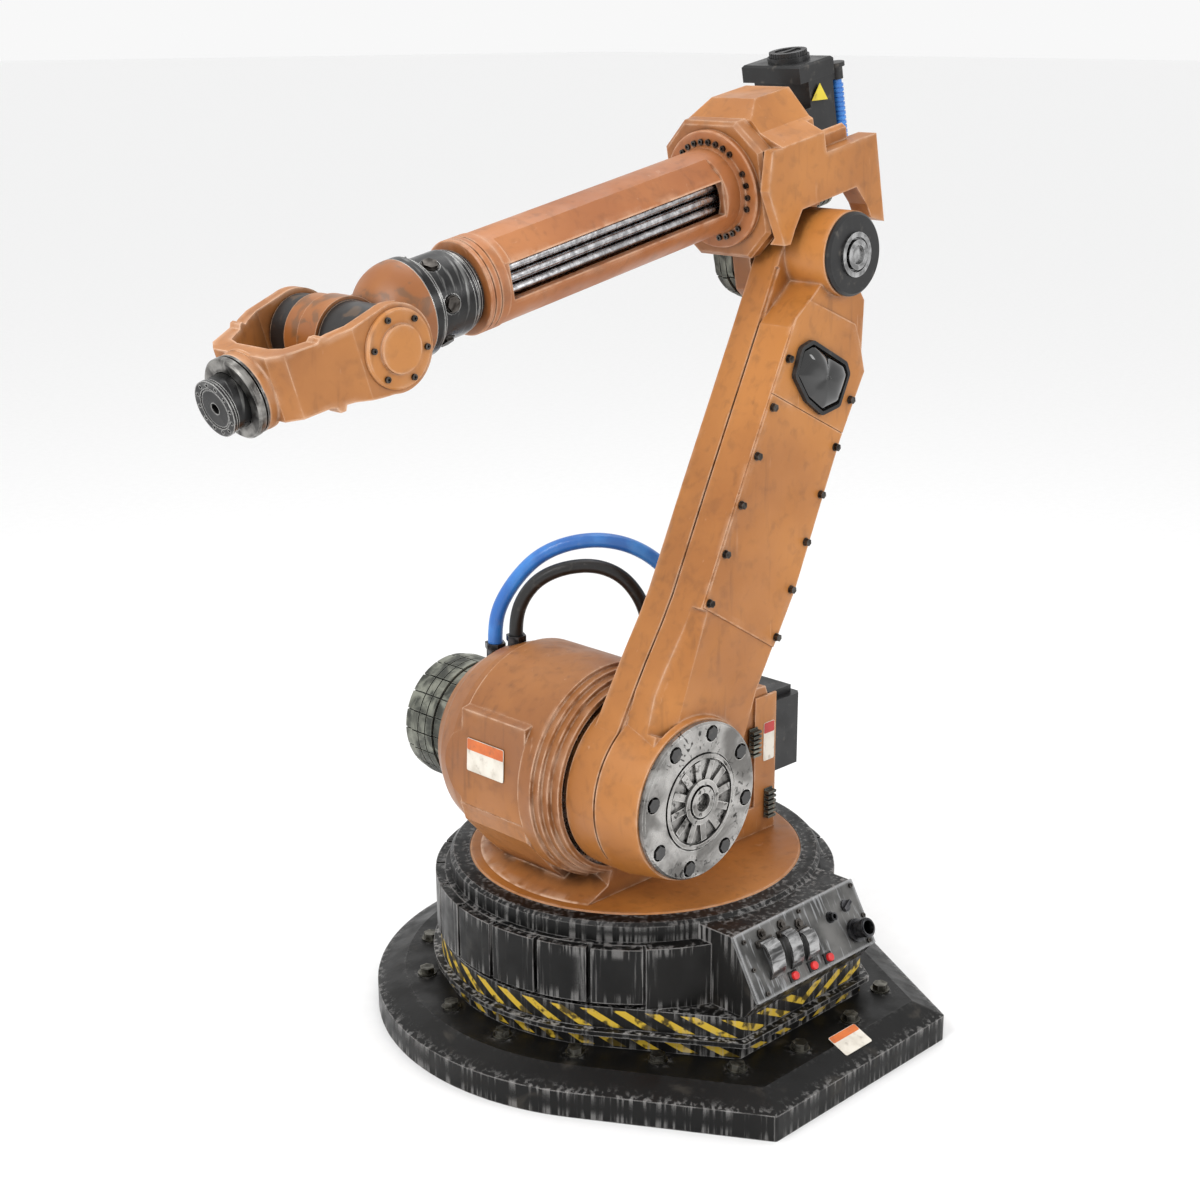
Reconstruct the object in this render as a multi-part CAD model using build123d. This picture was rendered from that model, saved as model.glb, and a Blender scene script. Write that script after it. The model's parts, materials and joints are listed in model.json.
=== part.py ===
from build123d import *
import math
import os

# Six-axis articulated industrial robot arm on a fixed base.
# Millimetres. Origin: on the floor, on the vertical axis of the turntable.
# +X is the way the arm reaches, +Y is the side that carries the link, +Z is up.

# ---- driving dimensions -------------------------------------------------
RUN_GAP = 0.5                  # face gap between bodies that turn past each other
FIT = 0.05                     # radial running clearance of a journal

BASE_R = 526.0                 # base plate, round part
BASE_CORNER = (262.0, 606.0)   # base plate, front corner
BASE_EDGE_Z = 51.5             # top of the plate's vertical edge
BASE_TOP_Z = 75.0              # flat top of the plate
BASE_BEVEL = 58.0
BASE_CENTRE_X = 14.0           # the plate sits a little forward of the turntable axis
BASE_BOLT_R = 438.0

LEDGE_Z = (106.0, 116.0)       # thin lip round the pedestal
PED_LOW_R = 403.0
PED_LOW_CORNER = (188.0, 451.0)
LEDGE_R = 420.0
LEDGE_CORNER = (193.0, 470.0)
PED_BAND_CORNER = (185.0, 452.0)
PED_BAND_R = 404.0
PED_BAND_Z = 160.0
PED_CORE_R = 392.0
PED_TOP_Z = 300.0
PED_WALL_R = 410.0
PED_BORE_R = 300.0

BLOCK_R = 411.0
BLOCK_Z = (171.0, 283.0)
BLOCK_COUNT = 18
BLOCK_FROM = 135.0             # first block's edge, degrees round from +X
BLOCK_PITCH = 15.1
BLOCK_GAP_DEG = 1.3
WALL_DEG = (46.9, 134.9)       # plain wall beside the panel

SLEW_RING_R = 380.0
SLEW_RING_Z = (286.0, 322.0)
TABLE_R = 340.0
TABLE_Z = 324.0
TABLE_THICK = 22.0

PANEL_BOTTOM = (490.0, 201.5)  # y, z of the control panel's lower edge
PANEL_TOP = (424.0, 317.6)
PANEL_HALF = 177.0
PANEL_THICK = 7.0
BUTTON_X = (68.6, 12.2, -35.3)
BUTTON_UP = 17.5
BUTTON_R = 8.0
BUTTON_TRAVEL = 4.0
GUARD_X = (108.0, 51.0, 6.0)
GUARD_W = (37.0, 30.0, 28.0)
GUARD_UP = (100.0, 99.0, 86.0)
HINGE_UP = -2.5                # guard hinge, from the guard's upper end
HINGE_OUT = 6.3
PIN_R = 2.5

A2_X = 168.2                   # shoulder axis
A2_Z = 558.5
SHOULDER_FACE_Y = 147.0
SHOULDER_BORE_R = 179.0
DRUM_R = 213.0
DRUM_BACK_Y = -240.0
MOTOR2_R = 129.0
MOTOR2_Y = (-372.0, -240.0)

A3_X = -245.2                  # elbow axis
A3_Z = 1529.7
LINK_Y = (165.0, 303.0)        # inner and outer face of the link
LINK_HUB_Y = 152.0             # inner face of its lower hub
BOSS_Y = 318.0                 # outer end of the two bosses
HUB_Y = 332.0
HUB_R = 152.0
COVER_Y = 306.0
HUB_BOLT_R = 130.0
AXLE_R = 40.0                  # elbow axle

ARM_PITCH = -11.2              # forearm, nose down from level
ARM_Y = 120.0                  # forearm axis
ARM_W = 145.6                  # forearm axis above the elbow axis
FLANGE_U = 140.7
FLANGE_R = 110.0
FLANGE_SCREW_R = 90.0
TUBE_R = 80.0
TUBE_END_U = 775.0
WINDOW_U = (188.0, 719.0)
WINDOW_W = (-29.0, 32.0)
WINDOW_FACE = 72.0
SHAFT_R = 9.0
SHAFT_W = (20.0, 0.0, -20.0)
SHAFT_Y = 44.0

A5_U = 1022.0                  # wrist pivot
A5_W = -8.0                    # below the forearm axis
FORK_HALF = 135.0
FORK_IN = 112.0
WRIST_BEND = -6.5              # fork against forearm
TOOL_R = 45.0
TOOL_FACE = 257.0
TOOL_BORE_R = 9.0

os.makedirs("parts", exist_ok=True)


# ---- small helpers ------------------------------------------------------
def save(shape, name):
    solids = shape.solids()
    body = solids[0] if len(solids) == 1 else Compound(children=list(solids))
    export_step(body, "parts/" + name + ".step")


def rod_x(radius, x0, x1, y=0.0, z=0.0):
    return Pos((x0 + x1) / 2, y, z) * Rot(0, 90, 0) * Cylinder(radius, x1 - x0)


def rod_y(radius, y0, y1, x=0.0, z=0.0):
    return Pos(x, (y0 + y1) / 2, z) * Rot(90, 0, 0) * Cylinder(radius, y1 - y0)


def rod_z(radius, z0, z1, x=0.0, y=0.0):
    return Pos(x, y, (z0 + z1) / 2) * Cylinder(radius, z1 - z0)


def box_between(low, high):
    size = [b - a for a, b in zip(low, high)]
    mid = [(a + b) / 2 for a, b in zip(low, high)]
    return Pos(*mid) * Box(*size)


def slab(sketch, y0, y1):
    """A sketch drawn in x and z, made solid from y0 to y1."""
    return extrude(Plane.XZ.offset(-y0) * sketch, amount=-(y1 - y0))


def outline(*points):
    return make_face(Polyline(*points, close=True))


def d_outline(radius, corner, corner_round=10.0, centre_x=0.0):
    """A circle with straight tangents to two rounded corners at +Y."""
    cx, cy = corner[0] - corner_round, corner[1] - corner_round
    rounds = Pos(centre_x, 0) * Circle(radius)
    rounds += Pos(cx, cy) * Circle(corner_round)
    rounds += Pos(-cx, cy) * Circle(corner_round)
    return make_hull(rounds.edges())


def sector(r_in, r_out, a0, a1, z0, z1):
    """A block between two radii and two angles in degrees."""
    a, b = math.radians(a0), math.radians(a1)
    m = (a + b) / 2

    def at(radius, angle):
        return (radius * math.cos(angle), radius * math.sin(angle))

    edge = (
        ThreePointArc(at(r_out, a), at(r_out, m), at(r_out, b))
        + Line(at(r_out, b), at(r_in, b))
        + ThreePointArc(at(r_in, b), at(r_in, m), at(r_in, a))
        + Line(at(r_in, a), at(r_out, a))
    )
    return Pos(0, 0, z0) * extrude(make_face(edge), amount=z1 - z0)


def hex_bolt(across_flats, head, washer_r, washer=3.0, shank_r=0.0, shank=0.0):
    """Hex head standing on z = 0 on its washer, shank below."""
    bolt = Cylinder(washer_r, washer, align=(Align.CENTER, Align.CENTER, Align.MIN))
    hexagon = RegularPolygon(across_flats / 2, 6, major_radius=False)
    bolt += Pos(0, 0, washer) * extrude(hexagon, amount=head)
    if shank:
        bolt += Pos(0, 0, -shank / 2) * Cylinder(shank_r, shank)
    return bolt


def cap_screw(radius, height, socket_r):
    """Socket head cap screw standing on z = 0."""
    head = Cylinder(radius, height, align=(Align.CENTER, Align.CENTER, Align.MIN))
    socket = extrude(RegularPolygon(socket_r, 6), amount=height * 0.55)
    return head - Pos(0, 0, height * 0.45) * socket


# ---- frames -------------------------------------------------------------
LEAN = math.degrees(math.atan2(A3_X - A2_X, A3_Z - A2_Z))
LINK_LENGTH = math.hypot(A3_X - A2_X, A3_Z - A2_Z)
LINK = Pos(A2_X, 0, A2_Z) * Rot(0, LEAN, 0)              # local Z runs to the elbow
ARM = Pos(A3_X, 0, A3_Z) * Rot(0, -ARM_PITCH, 0)         # local X runs to the wrist
AXIS = ARM * Pos(0, ARM_Y, ARM_W)                        # local X is the forearm axis
FORK = AXIS * Pos(A5_U, 0, A5_W) * Rot(0, -WRIST_BEND, 0)

panel_rise = math.hypot(PANEL_TOP[0] - PANEL_BOTTOM[0], PANEL_TOP[1] - PANEL_BOTTOM[1])
panel_out = (0, (PANEL_TOP[1] - PANEL_BOTTOM[1]) / panel_rise, (PANEL_BOTTOM[0] - PANEL_TOP[0]) / panel_rise)
# local X runs towards -X, local Y up the panel's slope, local Z out of its face
PANEL = Plane(origin=(0, PANEL_BOTTOM[0], PANEL_BOTTOM[1]), x_dir=(-1, 0, 0), z_dir=panel_out).location


# ---- base ---------------------------------------------------------------
def base_bolt_places():
    """Anchor bolts: a ring round the back and a row along the front edge."""
    places = [(213, 471), (74, 507), (-80, 507), (-219, 474)]
    for i in range(14):
        angle = math.radians(49.5 - 20.5 * i)
        radius = BASE_BOLT_R + (12 if i == 0 else 0)
        places.append((radius * math.cos(angle), radius * math.sin(angle)))
    return places


def base_plate():
    full = d_outline(BASE_R, BASE_CORNER, 10, BASE_CENTRE_X)
    inner = (BASE_CORNER[0] - 0.56 * BASE_BEVEL, BASE_CORNER[1] - BASE_BEVEL)
    top = Pos(0, 0, BASE_TOP_Z) * d_outline(BASE_R - BASE_BEVEL, inner, 6, BASE_CENTRE_X)
    plate = extrude(full, amount=BASE_EDGE_Z)
    plate += loft([Pos(0, 0, BASE_EDGE_Z) * full, top])
    plate -= rod_z(PED_BORE_R, -1, BASE_TOP_Z + 1)
    for x, y in base_bolt_places():
        plate -= rod_z(10.5, -1, BASE_TOP_Z + 1, x, y)
    return plate


def base_bolts():
    bolt = hex_bolt(26, 11, 19, 4, 10.4, BASE_TOP_Z - 15)
    places = enumerate(base_bolt_places())
    return [Pos(x, y, BASE_TOP_Z) * Rot(0, 0, 7 * i) * bolt for i, (x, y) in places]


def pedestal():
    low = extrude(d_outline(PED_LOW_R, PED_LOW_CORNER), amount=LEDGE_Z[0] - BASE_TOP_Z)
    body = Pos(0, 0, BASE_TOP_Z) * low
    lip = extrude(d_outline(LEDGE_R, LEDGE_CORNER), amount=LEDGE_Z[1] - LEDGE_Z[0])
    body += Pos(0, 0, LEDGE_Z[0]) * lip
    band = extrude(d_outline(PED_BAND_R, PED_BAND_CORNER), amount=PED_BAND_Z - LEDGE_Z[1])
    body += Pos(0, 0, LEDGE_Z[1]) * band
    wall_top = SLEW_RING_Z[0] - 2
    body += rod_z(PED_CORE_R, PED_BAND_Z, wall_top)
    wall_from, wall_to = WALL_DEG
    body += sector(PED_CORE_R - 20, PED_WALL_R, wall_from, wall_to, PED_BAND_Z, wall_top)
    body += console_block()
    body -= rod_z(PED_BORE_R, BASE_TOP_Z - 1, PED_TOP_Z + 30)
    body -= rod_z(SLEW_RING_R + 0.2, wall_top, PED_TOP_Z + 40)
    body -= console_hollow()
    # the panel covers an opening that its fittings reach through
    half = PANEL_HALF - 14
    body -= PANEL * box_between((-half, 7, -34), (half, panel_rise - 12, 0))
    return body


def console_profile(inset=0.0):
    """Side view of the console box, drawn in y and z."""
    run = PANEL_BOTTOM[0] - PANEL_TOP[0]
    rise = PANEL_TOP[1] - PANEL_BOTTOM[1]
    back = PANEL_THICK + inset
    dy, dz = back * rise / panel_rise, back * run / panel_rise
    foot_y = PED_BAND_CORNER[1] - 2 - inset
    return [
        (foot_y, PED_BAND_Z - 5 - inset / 4),
        (PANEL_BOTTOM[0] - dy, PANEL_BOTTOM[1] - dz),
        (PANEL_TOP[0] - dy, PANEL_TOP[1] - dz - inset),
        (330 + inset, PANEL_TOP[1] - dz - inset),
        (330 + inset, PED_BAND_Z - 5 - inset / 4),
    ]


def console_block():
    side = make_face(Plane.YZ * Polyline(*console_profile(), close=True))
    half = PANEL_HALF - 1
    return extrude(Pos(-half, 0, 0) * side, amount=2 * half)


def console_hollow():
    side = make_face(Plane.YZ * Polyline(*console_profile(9.0), close=True))
    half = PANEL_HALF - 10
    return extrude(Pos(-half, 0, 0) * side, amount=2 * half) - rod_z(PED_CORE_R, 100, 400)


def guard_blocks():
    blocks = []
    for i in range(BLOCK_COUNT):
        a0 = BLOCK_FROM + i * BLOCK_PITCH + BLOCK_GAP_DEG / 2
        a1 = a0 + BLOCK_PITCH - BLOCK_GAP_DEG
        blocks.append(sector(PED_CORE_R, BLOCK_R, a0, a1, BLOCK_Z[0], BLOCK_Z[1]))
    return blocks


def slew_ring():
    ring = rod_z(SLEW_RING_R, SLEW_RING_Z[0] - 2, SLEW_RING_Z[1])
    rim = ring.edges().filter_by(GeomType.CIRCLE).group_by(Axis.Z)[-1]
    ring = chamfer(rim, 7)
    return ring - rod_z(TABLE_R + 0.6, 0, SLEW_RING_Z[1] + 1)


def control_panel():
    width = 2 * PANEL_HALF
    plate = Pos(0, panel_rise / 2, -PANEL_THICK / 2) * Box(width, panel_rise, PANEL_THICK)
    plate = fillet(plate.edges().filter_by(Axis.Z), 3)
    for x in BUTTON_X:
        plate -= Pos(-x, BUTTON_UP, 0) * Cylinder(BUTTON_R + 1, 40)
    plate -= Pos(134, 39, 0) * Cylinder(17, 40)
    plate -= Pos(81, 84, 0) * Cylinder(7, 40)
    plate -= Pos(132, 91, 0) * Cylinder(9, 40)
    return PANEL * plate


def panel_screws():
    places = [(158, 115), (159, 61), (147, 10), (-6, 122), (-166, 122), (-170, 59), (-160, 10)]
    screw = cap_screw(4.5, 4, 2.2)
    return [PANEL * Pos(-x, up, 0) * screw for x, up in places]


def button_bezels():
    bezel = Pos(0, 0, 2.5) * Box(22, 20, 5)
    bezel = chamfer(bezel.faces().sort_by(Axis.Z)[-1].edges(), 1.5)
    bezel += Pos(0, 0, -11) * Cylinder(BUTTON_R + 0.9, 22)
    bezel -= Pos(0, 0, -5) * Cylinder(BUTTON_R + FIT, 60)
    bezel += Pos(0, 0, -24) * Cylinder(BUTTON_R + 0.9, 4)
    return [PANEL * Pos(-x, BUTTON_UP, 0) * bezel for x in BUTTON_X]


def push_button(x):
    cap = Pos(0, 0, -1.5) * Cylinder(BUTTON_R, 27, align=(Align.CENTER, Align.CENTER, Align.CENTER))
    cap = fillet(cap.edges().group_by(Axis.Z)[-1], 2.5)
    cap -= Pos(0, 0, -15) * Cylinder(BUTTON_R - 2.5, 16)
    return PANEL * Pos(-x, BUTTON_UP, 0) * cap


def button_springs():
    """Return springs at their pressed length, clear of the caps."""
    coil = Helix(1.75, 13.0 - BUTTON_TRAVEL - 0.5, BUTTON_R - 3.8)
    wire = sweep(Plane(coil @ 0, z_dir=coil % 0) * Circle(0.6), path=coil)
    return [PANEL * Pos(-x, BUTTON_UP, -21.2) * wire for x in BUTTON_X]


def guard_strap(x, width, top_up):
    """A curved strap that arches over its button, hinged at the upper end."""
    reach = top_up - 29.5
    top = [(0, 4), (-2, 15), (-10, 21), (-0.45 * reach, 22), (-0.8 * reach, 15), (-reach, 1.5)]
    under = [(-reach, -0.2), (-0.8 * reach + 1, 11.5), (-0.45 * reach, 18.5), (-11, 17.5), (-6.5, 13), (-5, 4)]
    side = outline(*top, *under)
    strap = extrude(Plane.YZ * side, amount=width / 2, both=True)
    strap += Pos(0, HINGE_UP, 5.5) * Rot(0, 90, 0) * Cylinder(5.5, width)
    strap -= Pos(0, HINGE_UP, 5.5) * Rot(0, 90, 0) * Cylinder(PIN_R + FIT, width + 2)
    return PANEL * Pos(-x, top_up, HINGE_OUT - 5.5) * strap


def guard_brackets():
    brackets = []
    for x, width, up in zip(GUARD_X, GUARD_W, GUARD_UP):
        shape = Pos(0, HINGE_UP, HINGE_OUT) * Rot(0, 90, 0) * Cylinder(PIN_R, width + 8)
        for side in (-1, 1):
            shape += Pos(side * (width / 2 + 2.5), HINGE_UP, 4.5) * Box(4, 9, 9)
            shape += Pos(side * (width / 2 + 2.5), 3, 1.5) * Box(4, 6, 3)
        shape += Pos(0, 4.6, 1.5) * Box(width + 9, 3, 3)
        shape += Pos(0, 14.5, 0) * extrude(RegularPolygon(11, 6), amount=4)
        shape += Pos(0, 14.5, 5.5) * Cylinder(5.5, 5)
        brackets.append(PANEL * Pos(-x, up, 0) * shape)
    return brackets


def round_connector():
    shell = Pos(0, 0, 4) * Cylinder(23, 8)
    shell += Pos(0, 0, 19) * Cylinder(17, 38)
    shell += Pos(0, 0, 32) * Cylinder(19, 8)
    shell += Pos(0, 0, -10) * Cylinder(16.8, 20)
    return shell - Pos(0, 0, 22) * Cylinder(14, 44)


def round_jack():
    jack = Pos(0, 0, 2) * Cylinder(11, 4)
    jack += Pos(0, 0, 7) * Cylinder(8, 14)
    jack += Pos(0, 0, -8) * Cylinder(6.8, 16)
    return jack - Pos(0, 0, 10) * Cylinder(5, 16)


def key_latch():
    latch = Pos(0, 0, 2) * Cylinder(12, 4)
    latch += Pos(0, 0, 7) * Box(26, 7, 6)
    return latch + Pos(0, 0, -8) * Cylinder(8.8, 16)


def panel_connectors():
    connector = PANEL * Pos(134, 39, 0) * round_connector()
    jack = PANEL * Pos(81, 84, 0) * round_jack()
    latch = PANEL * Pos(132, 91, 0) * Rot(0, 0, 25) * key_latch()
    return [connector, jack, latch]


# ---- turntable and shoulder --------------------------------------------
def turntable():
    disc = rod_z(TABLE_R, TABLE_Z - TABLE_THICK, TABLE_Z)
    disc = chamfer(disc.edges().filter_by(GeomType.CIRCLE).group_by(Axis.Z)[-1], 3)
    disc += rod_z(PED_BORE_R - FIT, TABLE_Z - TABLE_THICK - 70, TABLE_Z - TABLE_THICK)
    disc -= rod_z(PED_BORE_R - 28, 0, TABLE_Z - TABLE_THICK + 4)
    disc -= rod_z(60, 0, TABLE_Z + 10)
    return disc


PAD_Y = (-116.0, 62.0)         # flat front pad
DOME = [(DRUM_R, -84.0), (204.0, -140.0), (190.0, -184.0), (164.0, -224.0), (140.0, DRUM_BACK_Y)]
PAD_TOP = (191, 121)           # upper and lower edge of the pad, from the shoulder axis
PAD_LOW = (200, -70)
SKIRT_R = 318.0


def shoulder_profile():
    """Side view of the housing, drawn in x and z: drum, front pad, foot and rear block."""
    body = Pos(A2_X, A2_Z) * Circle(DRUM_R)
    body += Pos(A2_X, A2_Z) * outline((0, 0), (60, DRUM_R - 9), (173, 125), PAD_TOP, PAD_LOW, (189, -108), (127, -178),
                                      (70, TABLE_Z - A2_Z), (-60, TABLE_Z - A2_Z))
    body += outline((A2_X, A2_Z), (235, TABLE_Z), (-262, TABLE_Z), (-262, 560), (-232, 640), (-40, 652))
    return body


def shoulder_housing():
    pad_from, pad_to = PAD_Y
    drum = Pos(A2_X, A2_Z) * Circle(DRUM_R)
    foot = outline((A2_X - 150, 500), (A2_X + 40, 400), (235, TABLE_Z), (-262, TABLE_Z),
                   (-262, 560), (-232, 640), (-60, 648))
    shape = slab(shoulder_profile(), pad_from, pad_to)
    shape += slab(drum, DOME[0][1], 96)
    shape += slab(foot, DOME[0][1], SHOULDER_FACE_Y)
    # concentric steps that lead out to the bore
    for radius, y in ((206, 112), (198, 128), (189, SHOULDER_FACE_Y)):
        shape += rod_y(radius, 60, y, A2_X, A2_Z)
    # domed far end
    for (r0, y0), (r1, y1) in zip(DOME, DOME[1:]):
        shape += Pos(A2_X, (y0 + y1) / 2, A2_Z) * Rot(90, 0, 0) * Cone(r0, r1, y0 - y1)
    foot_far = outline((A2_X - 120, 480), (A2_X + 80, 440), (215, TABLE_Z), (-120, TABLE_Z))
    shape += slab(foot_far, -220, DOME[0][1])
    # the pad's flat face runs on across the dome
    face = Pos(A2_X, A2_Z) * outline(PAD_TOP, (PAD_TOP[0] + 90, PAD_TOP[1]), (PAD_LOW[0] + 90, PAD_LOW[1]), PAD_LOW)
    shape -= slab(face, DRUM_BACK_Y - 10, pad_to)
    # skirt that spreads the foot over the turntable
    skirt = loft([Pos(0, 0, TABLE_Z) * Circle(SKIRT_R), Pos(0, 0, TABLE_Z + 34) * Circle(SKIRT_R - 70)])
    shape += skirt & box_between((-262, -SKIRT_R, TABLE_Z), (SKIRT_R, SHOULDER_FACE_Y, 600))
    shape -= rod_y(SHOULDER_BORE_R, SHOULDER_FACE_Y - 40, SHOULDER_FACE_Y + 1, A2_X, A2_Z)
    shape -= rod_y(150, 20, SHOULDER_FACE_Y, A2_X, A2_Z)
    shape -= rod_y(178, -150, 0, A2_X, A2_Z)
    shape -= rod_y(70, -260, 60, A2_X, A2_Z)
    shape -= box_between((-246, -134, TABLE_Z + 16), (-60, 131, 600))
    # drilled and spot-faced seats for the hose fittings
    for x, y, z, radius in hose_ends():
        shape -= rod_z(radius + 3 + FIT, z - FITTING_LOW - 1, z, x, y)
        shape -= rod_z(radius + 8, z - 12, z + 60, x, y)
    return shape


def shoulder_bearing():
    ring = rod_y(SHOULDER_BORE_R - 0.02, SHOULDER_FACE_Y - 40, SHOULDER_FACE_Y - 14, A2_X, A2_Z)
    return ring - rod_y(160 + FIT, 0, SHOULDER_FACE_Y, A2_X, A2_Z)


def segmented_motor(radius, y0, y1, rows, count, gap=3.0):
    """A drum whose skin is cut into brick-like cooling pads."""
    core = rod_y(radius - 9, y0, y1)
    pitch = (y1 - y0) / rows
    shape = core
    for row in range(rows):
        a = y0 + row * pitch
        shape += rod_y(radius - (4 if row in (0, rows - 1) else 0), a + gap / 2, a + pitch - gap / 2)
    slot = box_between((radius - 8, y0 - 1, -gap / 2), (radius + 10, y1 + 1, gap / 2))
    for i in range(count):
        shape -= Rot(0, 360 / count * i, 0) * slot
    return shape


def shoulder_motor():
    y0, y1 = MOTOR2_Y
    motor = segmented_motor(MOTOR2_R, y0, y1 - 24, 5, 20)
    motor += rod_y(MOTOR2_R - 24, y1 - 26, y1)
    motor += rod_y(66, y1, 30)
    motor += rod_y(30, y0 - 8, y0)
    return Pos(A2_X, 0, A2_Z) * motor


def slew_motor():
    case = box_between((-372, 8, 432), (-262.5, 128, 588))
    case = chamfer(case.edges().filter_by(Axis.Z), 10)
    case += box_between((-356, 24, 588), (-284, 112, 604))
    return case


def motor_bracket():
    low, high = SHOULDER_FACE_Y, SHOULDER_FACE_Y + 4.5
    plate = box_between((-262, low, TABLE_Z), (-196, high, 622))
    plate += box_between((-262, low, TABLE_Z), (-150, high, TABLE_Z + 60))
    gusset = outline((-151, TABLE_Z), (-96, TABLE_Z), (-151, TABLE_Z + 60))
    return plate + slab(gusset, low, high)


def cooling_fins():
    stacks = []
    for x, z, height in ((-190, 500, 60), (-240, 352, 64)):
        stack = box_between((x - 12, SHOULDER_FACE_Y + 4.5, z), (x + 12, SHOULDER_FACE_Y + 7, z + height))
        for i in range(6):
            low = z + i * height / 6 + 1
            stack += box_between((x - 12, SHOULDER_FACE_Y + 6, low), (x + 12, SHOULDER_FACE_Y + 18, low + height / 12))
        stacks.append(stack)
    return stacks


# ---- hoses --------------------------------------------------------------
BLUE_R = 15.0
BLACK_R = 14.0
FITTING_LOW = 58.0             # how far a fitting reaches below its hose
BLUE_ROUTE = [
    (176, -222, 746), (176, -222, 784), (166, -212, 832), (140, -190, 884), (111, -157, 928),
    (72, -113, 954), (28, -63, 962), (-14, -15, 948), (-50, 26, 912), (-76, 55, 862),
    (-90, 72, 804), (-95, 78, 746), (-95, 78, 700),
]
BLACK_ROUTE = [
    (168, -168, 772), (168, -168, 806), (158, -157, 850), (137, -133, 889), (104, -96, 912),
    (64, -50, 919), (30, -11, 900), (6, 16, 858), (-6, 30, 806), (-9, 34, 754), (-9, 34, 706),
]


def fillet_radii(points):
    """Each corner's arc is as large as its two runs allow."""
    radii = []
    for a, b, c in zip(points, points[1:], points[2:]):
        one = Vector(*b) - Vector(*a)
        two = Vector(*c) - Vector(*b)
        half = math.radians(one.get_angle(two)) / 2
        radii.append(0.45 * min(one.length, two.length) / math.tan(half))
    return radii


def hose(points, radius):
    radii = fillet_radii(points)
    print("hose arcs", [round(r) for r in radii], "smallest in diameters", round(min(radii) / 2 / radius, 1))
    path = FilletPolyline(*points, radius=radii)
    tube = sweep(Plane(path @ 0, z_dir=path % 0) * Circle(radius), path=path)
    ideal = math.pi * radius ** 2 * path.length
    print("hose length", round(path.length), "volume ratio", round(tube.volume / ideal, 4))
    return tube


def hose_ends():
    """Where each hose meets its fitting: x, y, z and the hose's radius."""
    ends = []
    for route, radius in ((BLUE_ROUTE, BLUE_R), (BLACK_ROUTE, BLACK_R)):
        for point in (route[0], route[-1]):
            ends.append((*point, radius))
    return ends


def hose_fittings():
    fittings = []
    for x, y, z, radius in hose_ends():
        nut = Pos(x, y, z - 12) * extrude(RegularPolygon(radius + 7, 6), amount=12)
        nut += rod_z(radius + 3, z - FITTING_LOW, z - 12, x, y)
        fittings.append(nut)
    return fittings


# ---- link ---------------------------------------------------------------
LINK_HUB_R = 173.0
LINK_HUB_TIP_R = 156.0
LINK_BOSS_R = 80.0
# front and rear edges, x and z in the link's frame, from the hub up
FRONT_EDGE = [(153, 80), (142, 165), (134, 221), (120, 300), (113, 355), (104, 550), (90, 805), (86, 885)]
REAR_EDGE = [(-112, 107), (-108, 228), (-125, 347), (-137, 429), (-141, 600), (-145, 730), (-145, 880), (-101, 996)]
SEAM_Y = 225.0


def link_outline(inset=0.0):
    """Side view of the link, in its own frame: lower hub, straight arm, elbow boss."""
    top = LINK_LENGTH
    front = [(x - inset, z) for x, z in FRONT_EDGE]
    rear = [(x + inset, z) for x, z in reversed(REAR_EDGE)]
    body = Circle(LINK_HUB_R - inset)
    body += Pos(0, top) * Circle(LINK_BOSS_R - inset)
    body += outline((0, 0), *front, (LINK_BOSS_R - inset, top), (-LINK_BOSS_R + inset, top), *rear)
    return body


def link_facet():
    """The worn slanting facet low on the front of the outer face."""
    low = Pos(0, 0, 97) * outline((154, 274), (86, 304), (180, 304), (180, 274))
    high = Pos(0, 0, 342) * outline((114, 280), (95, 304), (140, 304), (140, 280))
    return loft([low, high], ruled=True)


def link_arm():
    low, high = LINK_Y
    top = LINK_LENGTH
    tip_start = SEAM_Y + 2.2
    solid = slab(link_outline(), low, tip_start)
    # outer half, whose hub narrows towards its face
    solid += slab(outline((0, 0), (138, 72), *FRONT_EDGE[1:], (0, top), *reversed(REAR_EDGE)), tip_start, high)
    solid += slab(Pos(0, top) * Circle(LINK_BOSS_R), tip_start, high)
    solid += rod_y(LINK_HUB_R, LINK_HUB_Y, tip_start)
    tip = Cone(LINK_HUB_R, LINK_HUB_TIP_R, BOSS_Y - tip_start)
    solid += Pos(0, (tip_start + BOSS_Y) / 2, 0) * Rot(-90, 0, 0) * tip
    solid += Pos(0, 0, top) * rod_y(LINK_BOSS_R, low, BOSS_Y + 4)
    # journal that turns in the shoulder bearing
    solid += rod_y(160, SHOULDER_FACE_Y - 38, LINK_HUB_Y)
    solid -= link_facet()
    # narrow seam along the front face and round the lower hub
    seam = slab(link_outline(-2), SEAM_Y - 2.2, SEAM_Y + 2.2) - slab(link_outline(7), SEAM_Y - 3, SEAM_Y + 3)
    solid -= seam & box_between((0, SEAM_Y - 5, -150), (300, SEAM_Y + 5, top - 60))
    # hollow casting
    wall = 20
    front = [(x - wall, z) for x, z in FRONT_EDGE[3:]]
    rear = [(x + wall, z) for x, z in reversed(REAR_EDGE[1:-1])]
    solid -= slab(outline(*front, *rear), low + 18, high - 16)
    solid -= rod_y(52, SHOULDER_FACE_Y - 40, HUB_Y)
    solid -= Pos(0, 0, top) * rod_y(AXLE_R + FIT, 100, HUB_Y)
    return LINK * solid


COVER_LOW = [(-119, 312), (111, 346)]
COVER_TOP = [(83, 905), (60, 946), (-92, 946), (-118, 921)]
COVER_SPLIT = ((-160, 742), (100, 758))


def cover_outline():
    front = [(102, 550), (88, 805)]
    rear = [(-158, 871), (-143, 730), (-139, 600), (-135, 429)]
    return outline(*COVER_LOW, *front, *COVER_TOP, *rear)


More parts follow.
